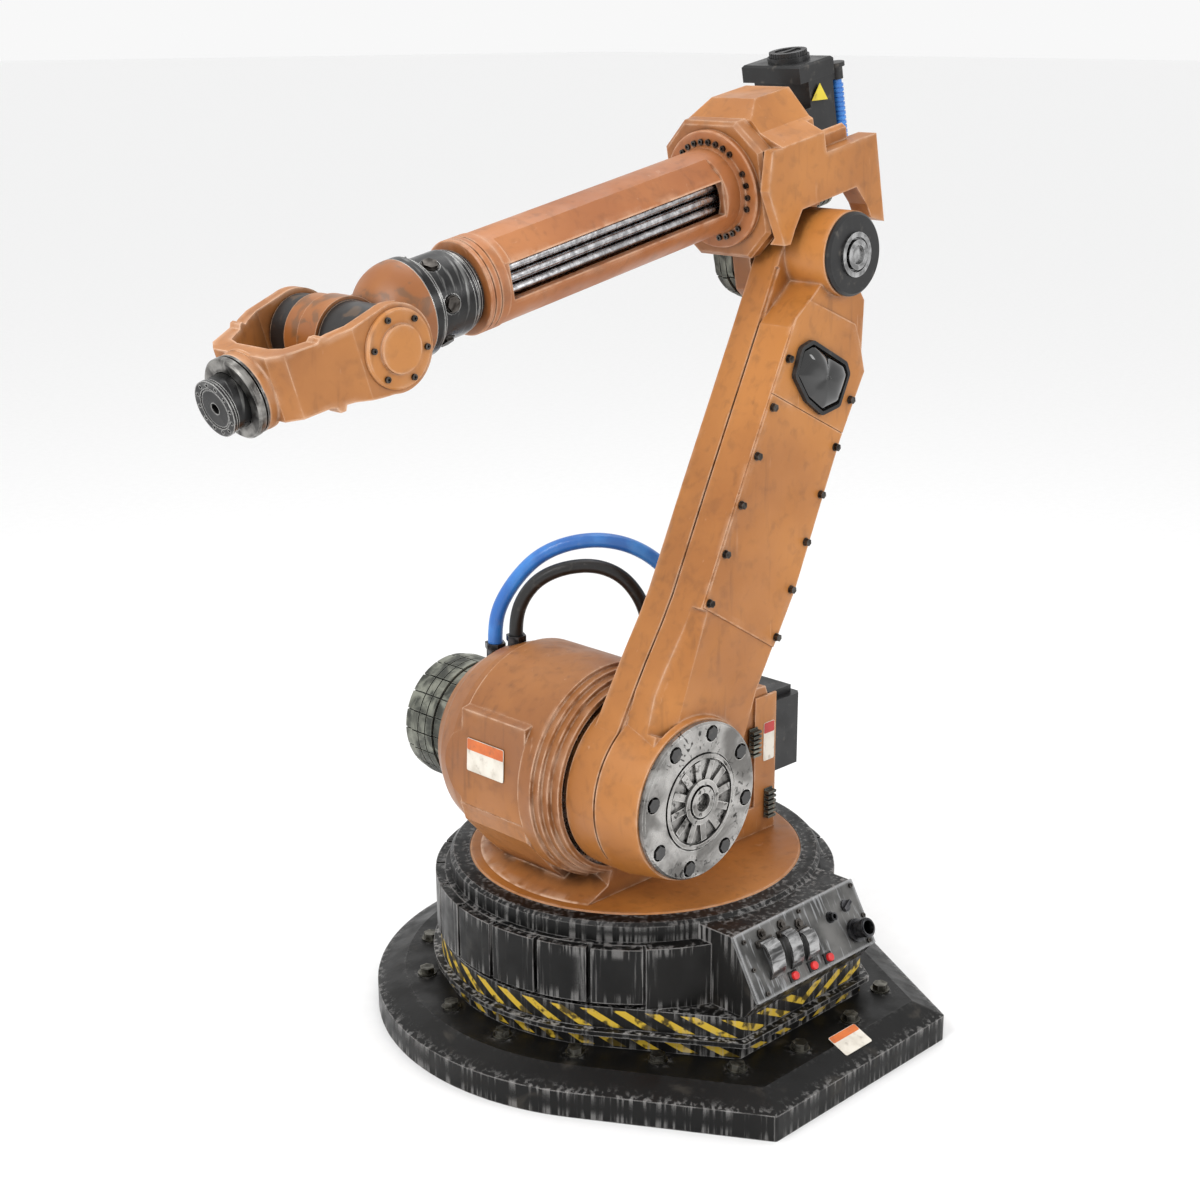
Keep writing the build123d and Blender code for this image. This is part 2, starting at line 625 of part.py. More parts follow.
def link_cover():
    """An upper plate that carries the window and a lower one."""
    plate = slab(cover_outline(), LINK_Y[1], COVER_Y)
    (x0, z0), (x1, z1) = COVER_SPLIT
    plate -= slab(outline((x0, z0), (x1, z1), (x1, z1 + 1.4), (x0, z0 + 1.4)), LINK_Y[1] - 1, COVER_Y + 1)
    for x, z in cover_bolt_places():
        plate -= rod_y(5.2, LINK_Y[1] - 1, COVER_Y + 1, x, z)
    return LINK * plate


def cover_bolt_places():
    places = []
    for i in range(6):
        places.append((101 - 5.4 * i, 357 + 94.5 * i))
        places.append((-117.5 - 4.1 * i, 332 + 95.4 * i))
    return places


def cover_bolts():
    bolt = hex_bolt(13, 7, 8, 2)
    return [LINK * Pos(x, COVER_Y, z) * Rot(-90, 0, 0) * bolt for x, z in cover_bolt_places()]


def window_points():
    """Corners of the irregular inspection window, in the link's frame."""
    return [(52, 802), (55, 858), (28, 880), (-86, 871), (-106, 853), (-103, 787), (-58, 757), (-2, 769)]


def window_face(inset, corner):
    face = outline(*window_points())
    face = offset(face, amount=-inset, kind=Kind.INTERSECTION)
    return fillet(face.vertices(), corner)


def window_gasket():
    ring = slab(window_face(0, 12), COVER_Y, COVER_Y + 10) - slab(window_face(7, 8), COVER_Y - 1, COVER_Y + 11)
    return LINK * ring


def window_lens():
    lens = slab(window_face(7.3, 8), COVER_Y, COVER_Y + 12)
    rim = lens.faces().sort_by(Axis.Y)[-1].edges()
    return LINK * chamfer(rim, 5)


def hub_flange():
    flange = rod_y(HUB_R, BOSS_Y, HUB_Y)
    flange = chamfer(flange.faces().sort_by(Axis.Y)[-1].edges(), 4)
    flange -= rod_y(95, HUB_Y - 15, HUB_Y + 1)
    for i in range(8):
        spot = Rot(0, 45 * i + 10, 0) * Pos(HUB_BOLT_R, 0, 0)
        flange -= spot * rod_y(16, HUB_Y - 7, HUB_Y + 1)
    return LINK * flange


def hub_bolts():
    bolt = hex_bolt(24, 8, 13, 2)
    seat = HUB_Y - 7
    return [LINK * Rot(0, 45 * i + 10, 0) * Pos(HUB_BOLT_R, seat, 0) * Rot(-90, 0, 0) * bolt for i in range(8)]


def hub_rotor():
    rotor = rod_y(94.5, HUB_Y - 14, HUB_Y - 4) - rod_y(30, HUB_Y - 15, HUB_Y)
    rotor += rod_y(92, HUB_Y - 5, HUB_Y + 2) - rod_y(84, HUB_Y - 6, HUB_Y + 3) - rod_y(30, HUB_Y - 15, HUB_Y)
    rotor += rod_y(44, HUB_Y - 5, HUB_Y + 5) - rod_y(34, HUB_Y - 15, HUB_Y + 6)
    fin = box_between((43, HUB_Y - 5, -7), (80, HUB_Y + 1, 7))
    for i in range(12):
        rotor += Rot(0, 30 * i, 0) * fin
    rotor += rod_y(29.9, HUB_Y - 14, HUB_Y + 7) - rod_y(18, HUB_Y - 4, HUB_Y + 8)
    rotor += rod_y(30.1, HUB_Y - 14, HUB_Y - 8)
    return LINK * rotor


def elbow_disc():
    disc = Pos(0, 0, LINK_LENGTH) * rod_y(78, HUB_Y - 10, HUB_Y)
    disc = chamfer(disc.faces().sort_by(Axis.Y)[-1].edges(), 5)
    disc -= Pos(0, 0, LINK_LENGTH) * rod_y(42, HUB_Y - 12, HUB_Y + 1)
    return LINK * disc


def elbow_cap():
    cap = rod_y(41.8, HUB_Y - 10, HUB_Y + 5) - rod_y(33, HUB_Y - 2, HUB_Y + 6)
    cap += rod_y(28, HUB_Y - 3, HUB_Y + 8) - rod_y(18, HUB_Y + 2, HUB_Y + 9)
    return LINK * Pos(0, 0, LINK_LENGTH) * cap


# ---- forearm ------------------------------------------------------------
BODY_U = (-130.0, 96.0)
HUMP_REAR_U = -46.0
S1_STEP_W = 181.0              # low rear part of the casting
PLATE_W = 142.0                # middle of the mounting plate
MOTOR3_R = 104.0
GEAR_R = 112.0
GEAR_Y = (112.0, 156.0)


def octagon(half_y, half_w, cut_y, cut_w):
    """An eight-sided section about the forearm axis, drawn in y and w."""
    points = []
    for sy, sw in ((1, 1), (-1, 1), (-1, -1), (1, -1)):
        a = (sy * half_y, sw * (half_w - cut_w))
        b = (sy * (half_y - cut_y), sw * half_w)
        points += [a, b] if sy * sw > 0 else [b, a]
    return make_face(Plane.YZ * Polyline(*points, close=True))


def elbow_casting():
    # body behind the mounting plate, about the forearm axis
    length = BODY_U[1] - BODY_U[0]
    body = extrude(Pos(BODY_U[0], ARM_Y, ARM_W) * octagon(112, 97, 52, 40), amount=length)
    # side plate that straddles the top of the link
    side = outline((123, 220), (-25, 210), (-27, 181), (-178, 181), (-179, 10), (-140, 28), (-130, 56),
                   (-104, 96), (58, 96), (84, 66), (101, 42), (118, 44), (146, 151))
    body += slab(side, 222, 265)
    # bevelled hump whose front slopes down to the mounting plate
    top = make_face(Plane.YZ * Polyline((5, 190), (5, 215), (25, 243), (67, 295), (173, 295), (215, 243),
                                        (224, 238), (224, 190), close=True))
    body -= box_between((BODY_U[0] - 1, 0, S1_STEP_W), (HUMP_REAR_U, 222, 300))
    body += extrude(Pos(HUMP_REAR_U, 0, 0) * top, amount=BODY_U[1] - HUMP_REAR_U, dir=(1, 0, 0))
    edge = make_face(Plane.YZ * Polyline((222, 239), (265, 219), (265, 190), (222, 190), close=True))
    body += extrude(Pos(-26, 0, 0) * edge, amount=BODY_U[1] + 26, dir=(1, 0, 0))
    body -= slab(outline((52, 295.2), (99, 264), (99, 300), (52, 300)), 0, 270)
    body += box_between((-120, 60, 20), (BODY_U[1], 158, 60))
    # room for the link's upper boss, the motor and its gearbox
    body -= box_between((-160, 158.0, -200), (BODY_U[1], 222.0, 96))
    body -= slab(outline((-104, 96), (58, 96), (84, 66), (84, -200), (-130, -200), (-130, 56)), 150, 300)
    body -= rod_y(MOTOR3_R + 2, 40, GEAR_Y[0])
    body -= rod_y(GEAR_R, GEAR_Y[0], 161)
    body -= extrude(Pos(BODY_U[0] + 29, ARM_Y, ARM_W) * octagon(84, 74, 40, 30), amount=length)
    # seat of the mounting plate
    body -= extrude(Pos(BODY_U[1], ARM_Y, PLATE_W) * octagon(125, 136, 56, 52), amount=80)
    return ARM * body


def mounting_plate():
    plate = extrude(Pos(BODY_U[1], ARM_Y, PLATE_W) * octagon(119, 127, 56, 52), amount=FLANGE_U - 12 - BODY_U[1])
    plate = chamfer(plate.faces().sort_by(Axis.X)[-1].edges(), 7)
    plate -= rod_x(70, 90, 140, ARM_Y, ARM_W)
    return ARM * plate


def arm_flange_screw_angles():
    """Screws stand in groups, clear of the window side."""
    top = [130.8 - 11.5 * i for i in range(8)]
    right = [22.5 - 14.2 * i for i in range(4)]
    low = [-50.1 - 11.6 * i for i in range(4)]
    back = [180 - 14.2 * 1.5 + 14.2 * i for i in range(4)]
    return top + right + low + back


def forearm_tube():
    front = FLANGE_U
    tube = rod_x(FLANGE_R, front - 12, front)
    tube = chamfer(tube.faces().sort_by(Axis.X)[-1].edges(), 2)
    tube += rod_x(TUBE_R, front, TUBE_END_U - 44)
    hub = Pos(front + 5, 0, 0) * Rot(0, 90, 0) * Cone(84.2, 80.2, 10)
    tube += hub
    # flat panel above the window
    cut = Rot(42, 0, 0) * box_between((front + 45, 75.3, -34), (TUBE_END_U - 60, 100, 34))
    tube -= cut
    tube -= box_between((front + 45, WINDOW_FACE, -60), (TUBE_END_U - 44, 100, 34))
    tube -= rod_x(62, front - 20, TUBE_END_U)
    u0, u1 = WINDOW_U
    tube -= box_between((u0, 20, WINDOW_W[0]), (u1, 100, WINDOW_W[1]))
    # end walls that carry the drive shafts
    for x0, x1 in ((front + 6, front + 18), (TUBE_END_U - 58, TUBE_END_U - 46)):
        wall = rod_x(62.2, x0, x1)
        for w in SHAFT_W:
            wall -= rod_x(SHAFT_R + FIT, x0 - 1, x1 + 1, SHAFT_Y, w)
        wall -= rod_x(16, x0 - 1, x1 + 1)
        tube += wall
    return AXIS * tube


def flange_screws():
    screw = cap_screw(5.2, 5, 2.8)
    screws = []
    for angle in arm_flange_screw_angles():
        a = math.radians(angle)
        y, w = FLANGE_SCREW_R * math.cos(a), FLANGE_SCREW_R * math.sin(a)
        screws.append(AXIS * Pos(FLANGE_U, y, w) * Rot(0, 90, 0) * screw)
    return screws


def forearm_ring():
    ring = rod_x(81.5, TUBE_END_U - 44, TUBE_END_U)
    for back in (9, 23):
        groove = rod_x(90, TUBE_END_U - back - 1.5, TUBE_END_U - back + 1.5)
        groove -= rod_x(79, TUBE_END_U - back - 3, TUBE_END_U - back + 3)
        ring -= groove
    ring = chamfer(ring.faces().sort_by(Axis.X)[-1].edges().sort_by(SortBy.LENGTH)[-1], 2)
    ring -= rod_x(58, TUBE_END_U - 50, TUBE_END_U + 1)
    return AXIS * ring


def drive_shaft(w):
    shaft = rod_x(SHAFT_R, FLANGE_U - 4, TUBE_END_U - 38, SHAFT_Y, w)
    for x in (FLANGE_U + 22, TUBE_END_U - 66):
        shaft += rod_x(SHAFT_R + 0.8, x, x + 4, SHAFT_Y, w)
    return AXIS * shaft


def connector_box():
    body = box_between((-221, -1, 230), (-148, 136, 282))
    body += box_between((-221, -1, 150), (BODY_U[0], 136, 232))
    lid = box_between((-224, -5, 282), (-120, 140, 315))
    body += chamfer(lid.faces().sort_by(Axis.Z)[-1].edges(), 4)
    return ARM * body


def box_cap():
    cap = rod_z(41, 315, 325, -172, 72)
    cap += rod_z(37, 325, 334, -172, 72)
    knurl = box_between((36.2, -1.4, 324), (39, 1.4, 335))
    for i in range(36):
        cap -= Pos(-172, 72, 0) * Rot(0, 0, 10 * i) * knurl
    cap -= rod_z(26, 331, 335, -172, 72)
    cap += box_between((-194, 68, 330), (-150, 76, 334))
    return ARM * cap


def conduit():
    x, y = -243, 128
    tube = rod_z(9.5, 150, 266, x, y)
    for i in range(12):
        tube += rod_z(12, 152 + 9 * i, 157.5 + 9 * i, x, y)
    return ARM * tube


def conduit_fitting():
    x, y = -243, 128
    fitting = rod_z(13, 266, 290, x, y)
    fitting += rod_z(18, 290, 298, x, y)
    fitting += box_between((x, y - 11, 268), (-221, y + 6, 281))
    return ARM * fitting


def elbow_motor():
    motor = segmented_motor(MOTOR3_R, 62, 108, 3, 16)
    motor += rod_y(70, 56, 62)
    motor += rod_y(88, 106, GEAR_Y[0])
    return ARM * (motor - box_between((BODY_U[1] - 0.2, 0, -200), (200, 200, 200)))


def elbow_gearbox():
    ring = rod_y(GEAR_R, *GEAR_Y)
    ring = chamfer(ring.faces().sort_by(Axis.Y)[-1].edges(), 3)
    ring += slab(outline((109, 26), (60, 48), (2, 46), (-3, -30)), 154, 159)
    ring -= box_between((BODY_U[1] - 0.2, 0, -200), (200, 160, 200))
    ring += rod_y(AXLE_R, 150, 318)
    return ARM * ring


def wrist_motors():
    motors = []
    rear = BODY_U[0]
    for y, w in ((45, 112), (118, 112), (82, 52)):
        motor = rod_x(32, rear - 88, rear, y, w)
        motor += rod_x(24, rear - 100, rear - 88, y, w)
        for i in range(5):
            a = rear - 80 + 15 * i
            motor -= rod_x(50, a, a + 5, y, w) - rod_x(29, a - 1, a + 6, y, w)
        motors.append(ARM * motor)
    return motors


# ---- wrist --------------------------------------------------------------
BARREL_U = (TUBE_END_U + RUN_GAP, 896.0)
BARREL_BOLT_U = 851.0
BARREL_FLAT = 70.9             # radius of the flats under the bolts


def wrist_barrel():
    u0, u1 = BARREL_U
    steps = [(63, u0, u0 + 8), (68, u0 + 8, u0 + 14), (64, u0 + 14, u0 + 18), (71, u0 + 18, u0 + 26),
             (73, u0 + 26, u1 - 25), (79, u1 - 25, u1 - 20), (75, u1 - 20, u1 - 17), (84, u1 - 17, u1)]
    shape = rod_x(steps[0][0], steps[0][1], steps[0][2])
    for radius, a, b in steps[1:]:
        shape += rod_x(radius, a - 0.2, b)
    shape += rod_x(58 - FIT, TUBE_END_U - 24, u0 + 1)
    shape -= rod_x(48, TUBE_END_U - 40, u1 + 1)
    for i in range(6):
        shape -= Rot(60 * i + 33, 0, 0) * rod_z(16.5, BARREL_FLAT, 100, BARREL_BOLT_U)
    return AXIS * shape


def barrel_bolts():
    bolt = hex_bolt(23, 5, 14, 2)
    return [AXIS * Rot(60 * i + 33, 0, 0) * Pos(BARREL_BOLT_U, 0, BARREL_FLAT) * bolt for i in range(6)]


def wrist_housing():
    """Domed neck and the drum that the fork swings about."""
    u0 = BARREL_U[1]
    dome = Pos(u0, 0, 0) * Sphere(84)
    dome -= rod_x(100, u0 - 100, u0)
    dome -= rod_x(48, u0 - 1, u0 + 40)
    drum = Pos(A5_U, 0, A5_W) * (rod_y(62, -FORK_IN + 4, FORK_IN - 4))
    for y0, y1, radius in ((-66, -30, 66), (-28, 18, 69)):
        drum += Pos(A5_U, 0, A5_W) * rod_y(radius, y0, y1)
    neck = loft([
        Pos(u0 + 20, 0, 0) * Rot(0, 90, 0) * Rectangle(84, 112),
        Pos(A5_U - 20, 0, A5_W) * Rot(0, 90, 0) * Rectangle(78, 100),
    ])
    shape = dome + drum + neck
    shape -= Pos(A5_U, 0, A5_W) * rod_y(24 + FIT, -200, 200)
    return AXIS * shape


def fork_plan():
    """Plan view of the fork in x and y: two arms joined by a rounded nose."""
    outer = [(0, FORK_HALF), (70, FORK_HALF), (120, FORK_HALF - 22), (170, 92), (188, 66)]
    inner = [(160, 40), (152, 66), (112, FORK_HALF - 45), (66, FORK_IN), (0, FORK_IN)]
    other_outer = [(x, -y) for x, y in reversed(outer)]
    other_inner = [(x, -y) for x, y in reversed(inner)]
    return outline(*outer, *other_outer, *other_inner, *inner)


def fork_side():
    """Side view in x and z: round cheeks that taper to the nose."""
    top = [(94, 62), (104, 60), (109, 66), (116, 66), (121, 60), (192, 60)]
    low = [(192, -46), (130, -44), (122, -46), (119, -56), (111, -56), (107, -47), (95, -48), (53, -59)]
    return Circle(70) + outline((0, 70), *top, *low, (0, -70))


def wrist_fork():
    band = Pos(0, 0, -90) * extrude(fork_plan(), amount=180)
    shape = band & slab(fork_side(), -200, 200)
    for sign in (-1, 1):
        shape += rod_y(70, *sorted((sign * FORK_IN, sign * FORK_HALF)))
        shape -= rod_y(24, *sorted((sign * 100, sign * 140)))
    # round seat for the tool flange
    shape += rod_x(58, 160, 188)
    shape += rod_x(66, 184, 190)
    shape += rod_x(65, 190, 204)
    shape -= rod_x(40 + FIT, 150, 210)
    return FORK * shape


def pivot_caps():
    caps = []
    for sign in (-1, 1):
        pin = rod_y(24, *sorted((sign * 60, sign * FORK_HALF)))
        rim = sorted((sign * FORK_HALF, sign * (FORK_HALF + 7)))
        cap = rod_y(63, *rim)
        cap = chamfer(cap.faces().sort_by(Axis.Y)[-1 if sign > 0 else 0].edges(), 3)
        boss = rod_y(38, *sorted((sign * (FORK_HALF + 7), sign * (FORK_HALF + 13))))
        caps.append(FORK * (pin + cap + boss))
    return caps


def pivot_screws():
    screw = cap_screw(5, 4, 2.6)
    screws = []
    for sign in (-1, 1):
        for i in range(6):
            a = math.radians(60 * i + 20)
            spot = Pos(52 * math.cos(a), sign * (FORK_HALF + 7), 52 * math.sin(a))
            screws.append(FORK * spot * Rot(-90 * sign, 0, 0) * screw)
    return screws


def flange_ring():
    ring = rod_x(65, 204, 208)
    ring += rod_x(60, 208, 212)
    ring += rod_x(66, 212, 224)
    ring = chamfer(ring.faces().sort_by(Axis.X)[-1].edges(), 3)
    ring -= rod_x(46, 200, 230)
    return FORK * ring


def tool_flange():
    body = rod_x(40, 152, 206)
    body += rod_x(TOOL_R, 205, 248)
    body += rod_x(43, 248, 251)
    body += rod_x(TOOL_R + 1, 251, TOOL_FACE)
    body -= rod_x(33, TOOL_FACE - 3, TOOL_FACE + 1)
    body += rod_x(31, TOOL_FACE - 4, TOOL_FACE - 1)
    body -= rod_x(TOOL_BORE_R, 150, TOOL_FACE + 1)
    for i in range(12):
        body -= Rot(30 * i, 0, 0) * rod_x(2.5, TOOL_FACE - 8, TOOL_FACE + 1, 0, 39)
    return FORK * body


# ---- write every sub-part ----------------------------------------------
def write(name, made):
    shape = Compound(children=[s for part in made for s in part.solids()]) if isinstance(made, list) else made
    save(shape, name)


SUB_PARTS = {
    "base_plate": base_plate,
    "base_bolts": base_bolts,
    "pedestal": pedestal,
    "guard_blocks": guard_blocks,
    "slew_ring": slew_ring,
    "control_panel": control_panel,
    "panel_screws": panel_screws,
    "button_bezels": button_bezels,
    "button_springs": button_springs,
    "guard_brackets": guard_brackets,
    "panel_connectors": panel_connectors,
    "turntable": turntable,
    "shoulder_housing": shoulder_housing,
    "shoulder_bearing": shoulder_bearing,
    "shoulder_motor": shoulder_motor,
    "slew_motor": slew_motor,
    "motor_bracket": motor_bracket,
    "cooling_fins": cooling_fins,
    "hose_fittings": hose_fittings,
    "link_arm": link_arm,
    "link_cover": link_cover,
    "cover_bolts": cover_bolts,
    "window_gasket": window_gasket,
    "window_lens": window_lens,
    "hub_flange": hub_flange,
    "hub_bolts": hub_bolts,
    "hub_rotor": hub_rotor,
    "elbow_disc": elbow_disc,
    "elbow_cap": elbow_cap,
    "elbow_casting": elbow_casting,
    "mounting_plate": mounting_plate,
    "forearm_tube": forearm_tube,
    "flange_screws": flange_screws,
    "forearm_ring": forearm_ring,
    "connector_box": connector_box,
    "box_cap": box_cap,
    "conduit": conduit,
    "conduit_fitting": conduit_fitting,
    "elbow_motor": elbow_motor,
    "elbow_gearbox": elbow_gearbox,
    "wrist_motors": wrist_motors,
    "wrist_barrel": wrist_barrel,
    "barrel_bolts": barrel_bolts,
    "wrist_housing": wrist_housing,
    "wrist_fork": wrist_fork,
    "pivot_caps": pivot_caps,
    "pivot_screws": pivot_screws,
    "tool_flange": tool_flange,
    "flange_ring": flange_ring,
}

for sub_part, make in SUB_PARTS.items():
    write(sub_part, make())
for i, x in enumerate(BUTTON_X):
    write("push_button_%d" % (i + 1), push_button(x))
for i, place in enumerate(zip(GUARD_X, GUARD_W, GUARD_UP)):
    write("button_guard_%d" % (i + 1), guard_strap(*place))
for i, w in enumerate(SHAFT_W):
    write("drive_shaft_%d" % (i + 1), drive_shaft(w))
write("hose_blue", hose(BLUE_ROUTE, BLUE_R))
write("hose_black", hose(BLACK_ROUTE, BLACK_R))
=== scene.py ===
import json
import math

import bmesh
import bpy
from mathutils import Matrix, Vector


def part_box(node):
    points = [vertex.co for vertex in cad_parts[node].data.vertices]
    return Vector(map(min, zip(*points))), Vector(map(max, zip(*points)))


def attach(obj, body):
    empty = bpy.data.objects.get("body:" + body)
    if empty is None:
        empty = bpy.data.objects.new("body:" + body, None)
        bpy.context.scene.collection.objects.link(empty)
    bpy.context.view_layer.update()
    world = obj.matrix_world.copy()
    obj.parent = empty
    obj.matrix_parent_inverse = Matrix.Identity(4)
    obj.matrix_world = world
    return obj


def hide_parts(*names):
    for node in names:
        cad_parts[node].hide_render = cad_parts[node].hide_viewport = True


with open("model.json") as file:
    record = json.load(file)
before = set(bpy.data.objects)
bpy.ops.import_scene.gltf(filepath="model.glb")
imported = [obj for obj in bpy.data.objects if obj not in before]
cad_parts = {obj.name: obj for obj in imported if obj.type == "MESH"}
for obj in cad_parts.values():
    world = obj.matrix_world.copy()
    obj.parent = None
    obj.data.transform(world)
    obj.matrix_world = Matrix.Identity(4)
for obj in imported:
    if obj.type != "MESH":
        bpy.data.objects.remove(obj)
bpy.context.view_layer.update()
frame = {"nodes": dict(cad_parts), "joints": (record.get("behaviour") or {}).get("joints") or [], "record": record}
nodes = frame["nodes"]

# ---- camera -------------------------------------------------------------
AZIMUTH, ELEVATION = math.radians(134.1), math.radians(16.6)
DISTANCE = 3.8372
TARGET_Z, TARGET_SIDE = 0.8498, 0.0013
SENSOR, LENS = 36.0, 57.975
SHIFT = (-0.0299167, -0.00275)
FAR_CLIP = 400


def add_camera():
    back = Vector((math.sin(AZIMUTH) * math.cos(ELEVATION), -math.cos(AZIMUTH) * math.cos(ELEVATION),
                   math.sin(ELEVATION)))
    right = Vector((math.cos(AZIMUTH), math.sin(AZIMUTH), 0))
    up = back.cross(right)
    data = bpy.data.cameras.new("camera")
    camera = bpy.data.objects.new("camera", data)
    bpy.context.scene.collection.objects.link(camera)
    turn = Matrix((right, up, back)).transposed().to_4x4()
    place = Vector((0, 0, TARGET_Z)) + right * TARGET_SIDE + back * DISTANCE
    camera.matrix_world = Matrix.Translation(place) @ turn
    data.sensor_width = SENSOR
    data.lens = LENS
    data.shift_x, data.shift_y = SHIFT
    data.clip_end = FAR_CLIP
    bpy.context.scene.camera = camera


# ---- material building --------------------------------------------------
DETAIL_SAMPLES = 4


class Shade:
    """One procedural material; most methods add nodes and return an output."""

    def __init__(self, name, roughness=0.5, metallic=0.0):
        self.material = bpy.data.materials.new(name)
        self.material.use_nodes = True
        self.tree = self.material.node_tree
        self.shader = self.tree.nodes["Principled BSDF"]
        self.shader.inputs["Roughness"].default_value = roughness
        self.shader.inputs["Metallic"].default_value = metallic
        self.place = self.tree.nodes.new("ShaderNodeTexCoord").outputs["Object"]
        self.height = None

    def put(self, socket, value):
        if isinstance(value, bpy.types.NodeSocket):
            self.tree.links.new(value, socket)
        else:
            socket.default_value = value

    def noise(self, scale, detail, stretch=(1, 1, 1), distortion=0.0, turn=(0, 0, 0)):
        mapping = self.tree.nodes.new("ShaderNodeMapping")
        mapping.inputs["Scale"].default_value = stretch
        mapping.inputs["Rotation"].default_value = turn
        self.put(mapping.inputs["Vector"], self.place)
        noise = self.tree.nodes.new("ShaderNodeTexNoise")
        noise.inputs["Scale"].default_value = scale
        noise.inputs["Detail"].default_value = detail
        noise.inputs["Distortion"].default_value = distortion
        self.put(noise.inputs["Vector"], mapping.outputs[0])
        return noise.outputs["Fac"]

    def cells(self, scale):
        cells = self.tree.nodes.new("ShaderNodeTexVoronoi")
        cells.inputs["Scale"].default_value = scale
        self.put(cells.inputs["Vector"], self.place)
        return cells.outputs["Distance"]

    def between(self, value, low, high, to_low=0.0, to_high=1.0):
        """Smooth step from low to high."""
        step = self.tree.nodes.new("ShaderNodeMapRange")
        step.interpolation_type = "SMOOTHSTEP"
        for name, number in (("From Min", low), ("From Max", high), ("To Min", to_low), ("To Max", to_high)):
            step.inputs[name].default_value = number
        self.put(step.inputs["Value"], value)
        return step.outputs[0]

    def calc(self, operation, a, b=0.0):
        node = self.tree.nodes.new("ShaderNodeMath")
        node.operation = operation
        self.put(node.inputs[0], a)
        self.put(node.inputs[1], b)
        return node.outputs[0]

    def times(self, *values):
        result = values[0]
        for value in values[1:]:
            result = self.calc("MULTIPLY", result, value)
        return result

    def mix(self, factor, a, b):
        node = self.tree.nodes.new("ShaderNodeMix")
        node.data_type = "RGBA"
        self.put(node.inputs["Factor"], factor)
        self.put(node.inputs["A"], a)
        self.put(node.inputs["B"], b)
        return node.outputs["Result"]

    def xyz(self):
        node = self.tree.nodes.new("ShaderNodeSeparateXYZ")
        self.put(node.inputs[0], self.place)
        return node.outputs

    def edges(self, radius, low=0.03, high=0.22):
        """1 on worn outer edges and in tight corners, 0 on open faces."""
        bevel = self.tree.nodes.new("ShaderNodeBevel")
        bevel.samples = DETAIL_SAMPLES
        bevel.inputs["Radius"].default_value = radius
        face = self.tree.nodes.new("ShaderNodeNewGeometry")
        dot = self.tree.nodes.new("ShaderNodeVectorMath")
        dot.operation = "DOT_PRODUCT"
        self.put(dot.inputs[0], bevel.outputs[0])
        self.put(dot.inputs[1], face.outputs["Normal"])
        return self.between(self.calc("SUBTRACT", 1.0, dot.outputs["Value"]), low, high)

    def hollows(self, distance):
        """1 deep in corners, 0 in the open."""
        node = self.tree.nodes.new("ShaderNodeAmbientOcclusion")
        node.samples = DETAIL_SAMPLES
        node.inputs["Distance"].default_value = distance
        return self.calc("SUBTRACT", 1.0, node.outputs["AO"])

    def raise_by(self, value, strength, distance):
        """Add bump on top of any bump so far."""
        bump = self.tree.nodes.new("ShaderNodeBump")
        bump.inputs["Strength"].default_value = strength
        bump.inputs["Distance"].default_value = distance
        self.put(bump.inputs["Height"], value)
        if self.height is not None:
            self.put(bump.inputs["Normal"], self.height)
        self.height = bump.outputs[0]

    def finish(self, colour, roughness=None):
        self.put(self.shader.inputs["Base Color"], colour)
        if roughness is not None:
            self.put(self.shader.inputs["Roughness"], roughness)
        if self.height is not None:
            self.put(self.shader.inputs["Normal"], self.height)
        return self.material


def linear(value):
    """Display value, 0 to 255, to linear light (sRGB curve)."""
    value /= 255
    return value / 12.92 if value <= 0.04045 else ((value + 0.055) / 1.055) ** 2.4


def rgb(red, green, blue):
    return (linear(red), linear(green), linear(blue), 1.0)


def lighter(colour, gain, lift):
    return tuple(min(1.0, c * gain + lift) for c in colour[:3]) + (1.0,)


# ---- materials ----------------------------------------------------------
# brown used for the dirt mottle and runs, and for the painted shade in corners
GRIME_AND_SHADE = rgb(72, 44, 26)
PALE = rgb(214, 178, 150)


def enamel(name, light, dark, wear=0.75, dirt=0.8):
    """Satin machine enamel: cloudy colour, rubbed pale edges, painted brown shade in corners, and brown dirt in runs
    down the faces.
    """
    s = Shade(name)
    cloud = s.between(s.noise(2.6, 5.0), 0.35, 0.66)
    colour = s.mix(cloud, dark, light)
    mottle = s.between(s.noise(38.0, 6.0, distortion=0.4), 0.48, 0.74, 0.0, 0.22)
    colour = s.mix(mottle, colour, GRIME_AND_SHADE)
    runs = s.between(s.noise(9.0, 5.0, (6, 6, 0.7)), 0.56, 0.78, 0.0, 0.34 * dirt)
    colour = s.mix(runs, colour, GRIME_AND_SHADE)
    # painted shade: brown in the corners from the occlusion mask, made patchy by noise and scaled by dirt, which also
    # scales the dirt runs
    corner = s.between(s.hollows(0.045), 0.12, 0.85)
    corner_shade = s.times(corner, s.between(s.noise(24.0, 5.0), 0.3, 0.6, 0.35, 1.0), dirt)
    colour = s.mix(corner_shade, colour, GRIME_AND_SHADE)
    uneven = s.between(s.noise(34.0, 6.0), 0.36, 0.58, 0.15, 1.0)
    rubbed = s.times(s.edges(0.0065, 0.015, 0.16), uneven, wear)
    colour = s.mix(rubbed, colour, PALE)
    patchy = s.between(s.noise(19.0, 6.0, distortion=0.5), 0.42, 0.64)
    halo = s.times(s.edges(0.022, 0.01, 0.24), patchy, 0.45 * wear)
    colour = s.mix(halo, colour, PALE)
    scuffs = s.between(s.noise(70.0, 5.0, (1, 1, 0.12), 0.8), 0.68, 0.78, 0.0, 0.3 * wear)
    colour = s.mix(scuffs, colour, PALE)
    rough = s.between(s.noise(14.0, 5.0), 0.3, 0.7, 0.36, 0.56)
    rough = s.calc("ADD", rough, s.times(rubbed, 0.18))
    s.raise_by(s.noise(420.0, 2.0), 0.08, 0.0006)
    s.raise_by(s.noise(11.0, 3.0), 0.12, 0.004)
    return s.finish(colour, rough)


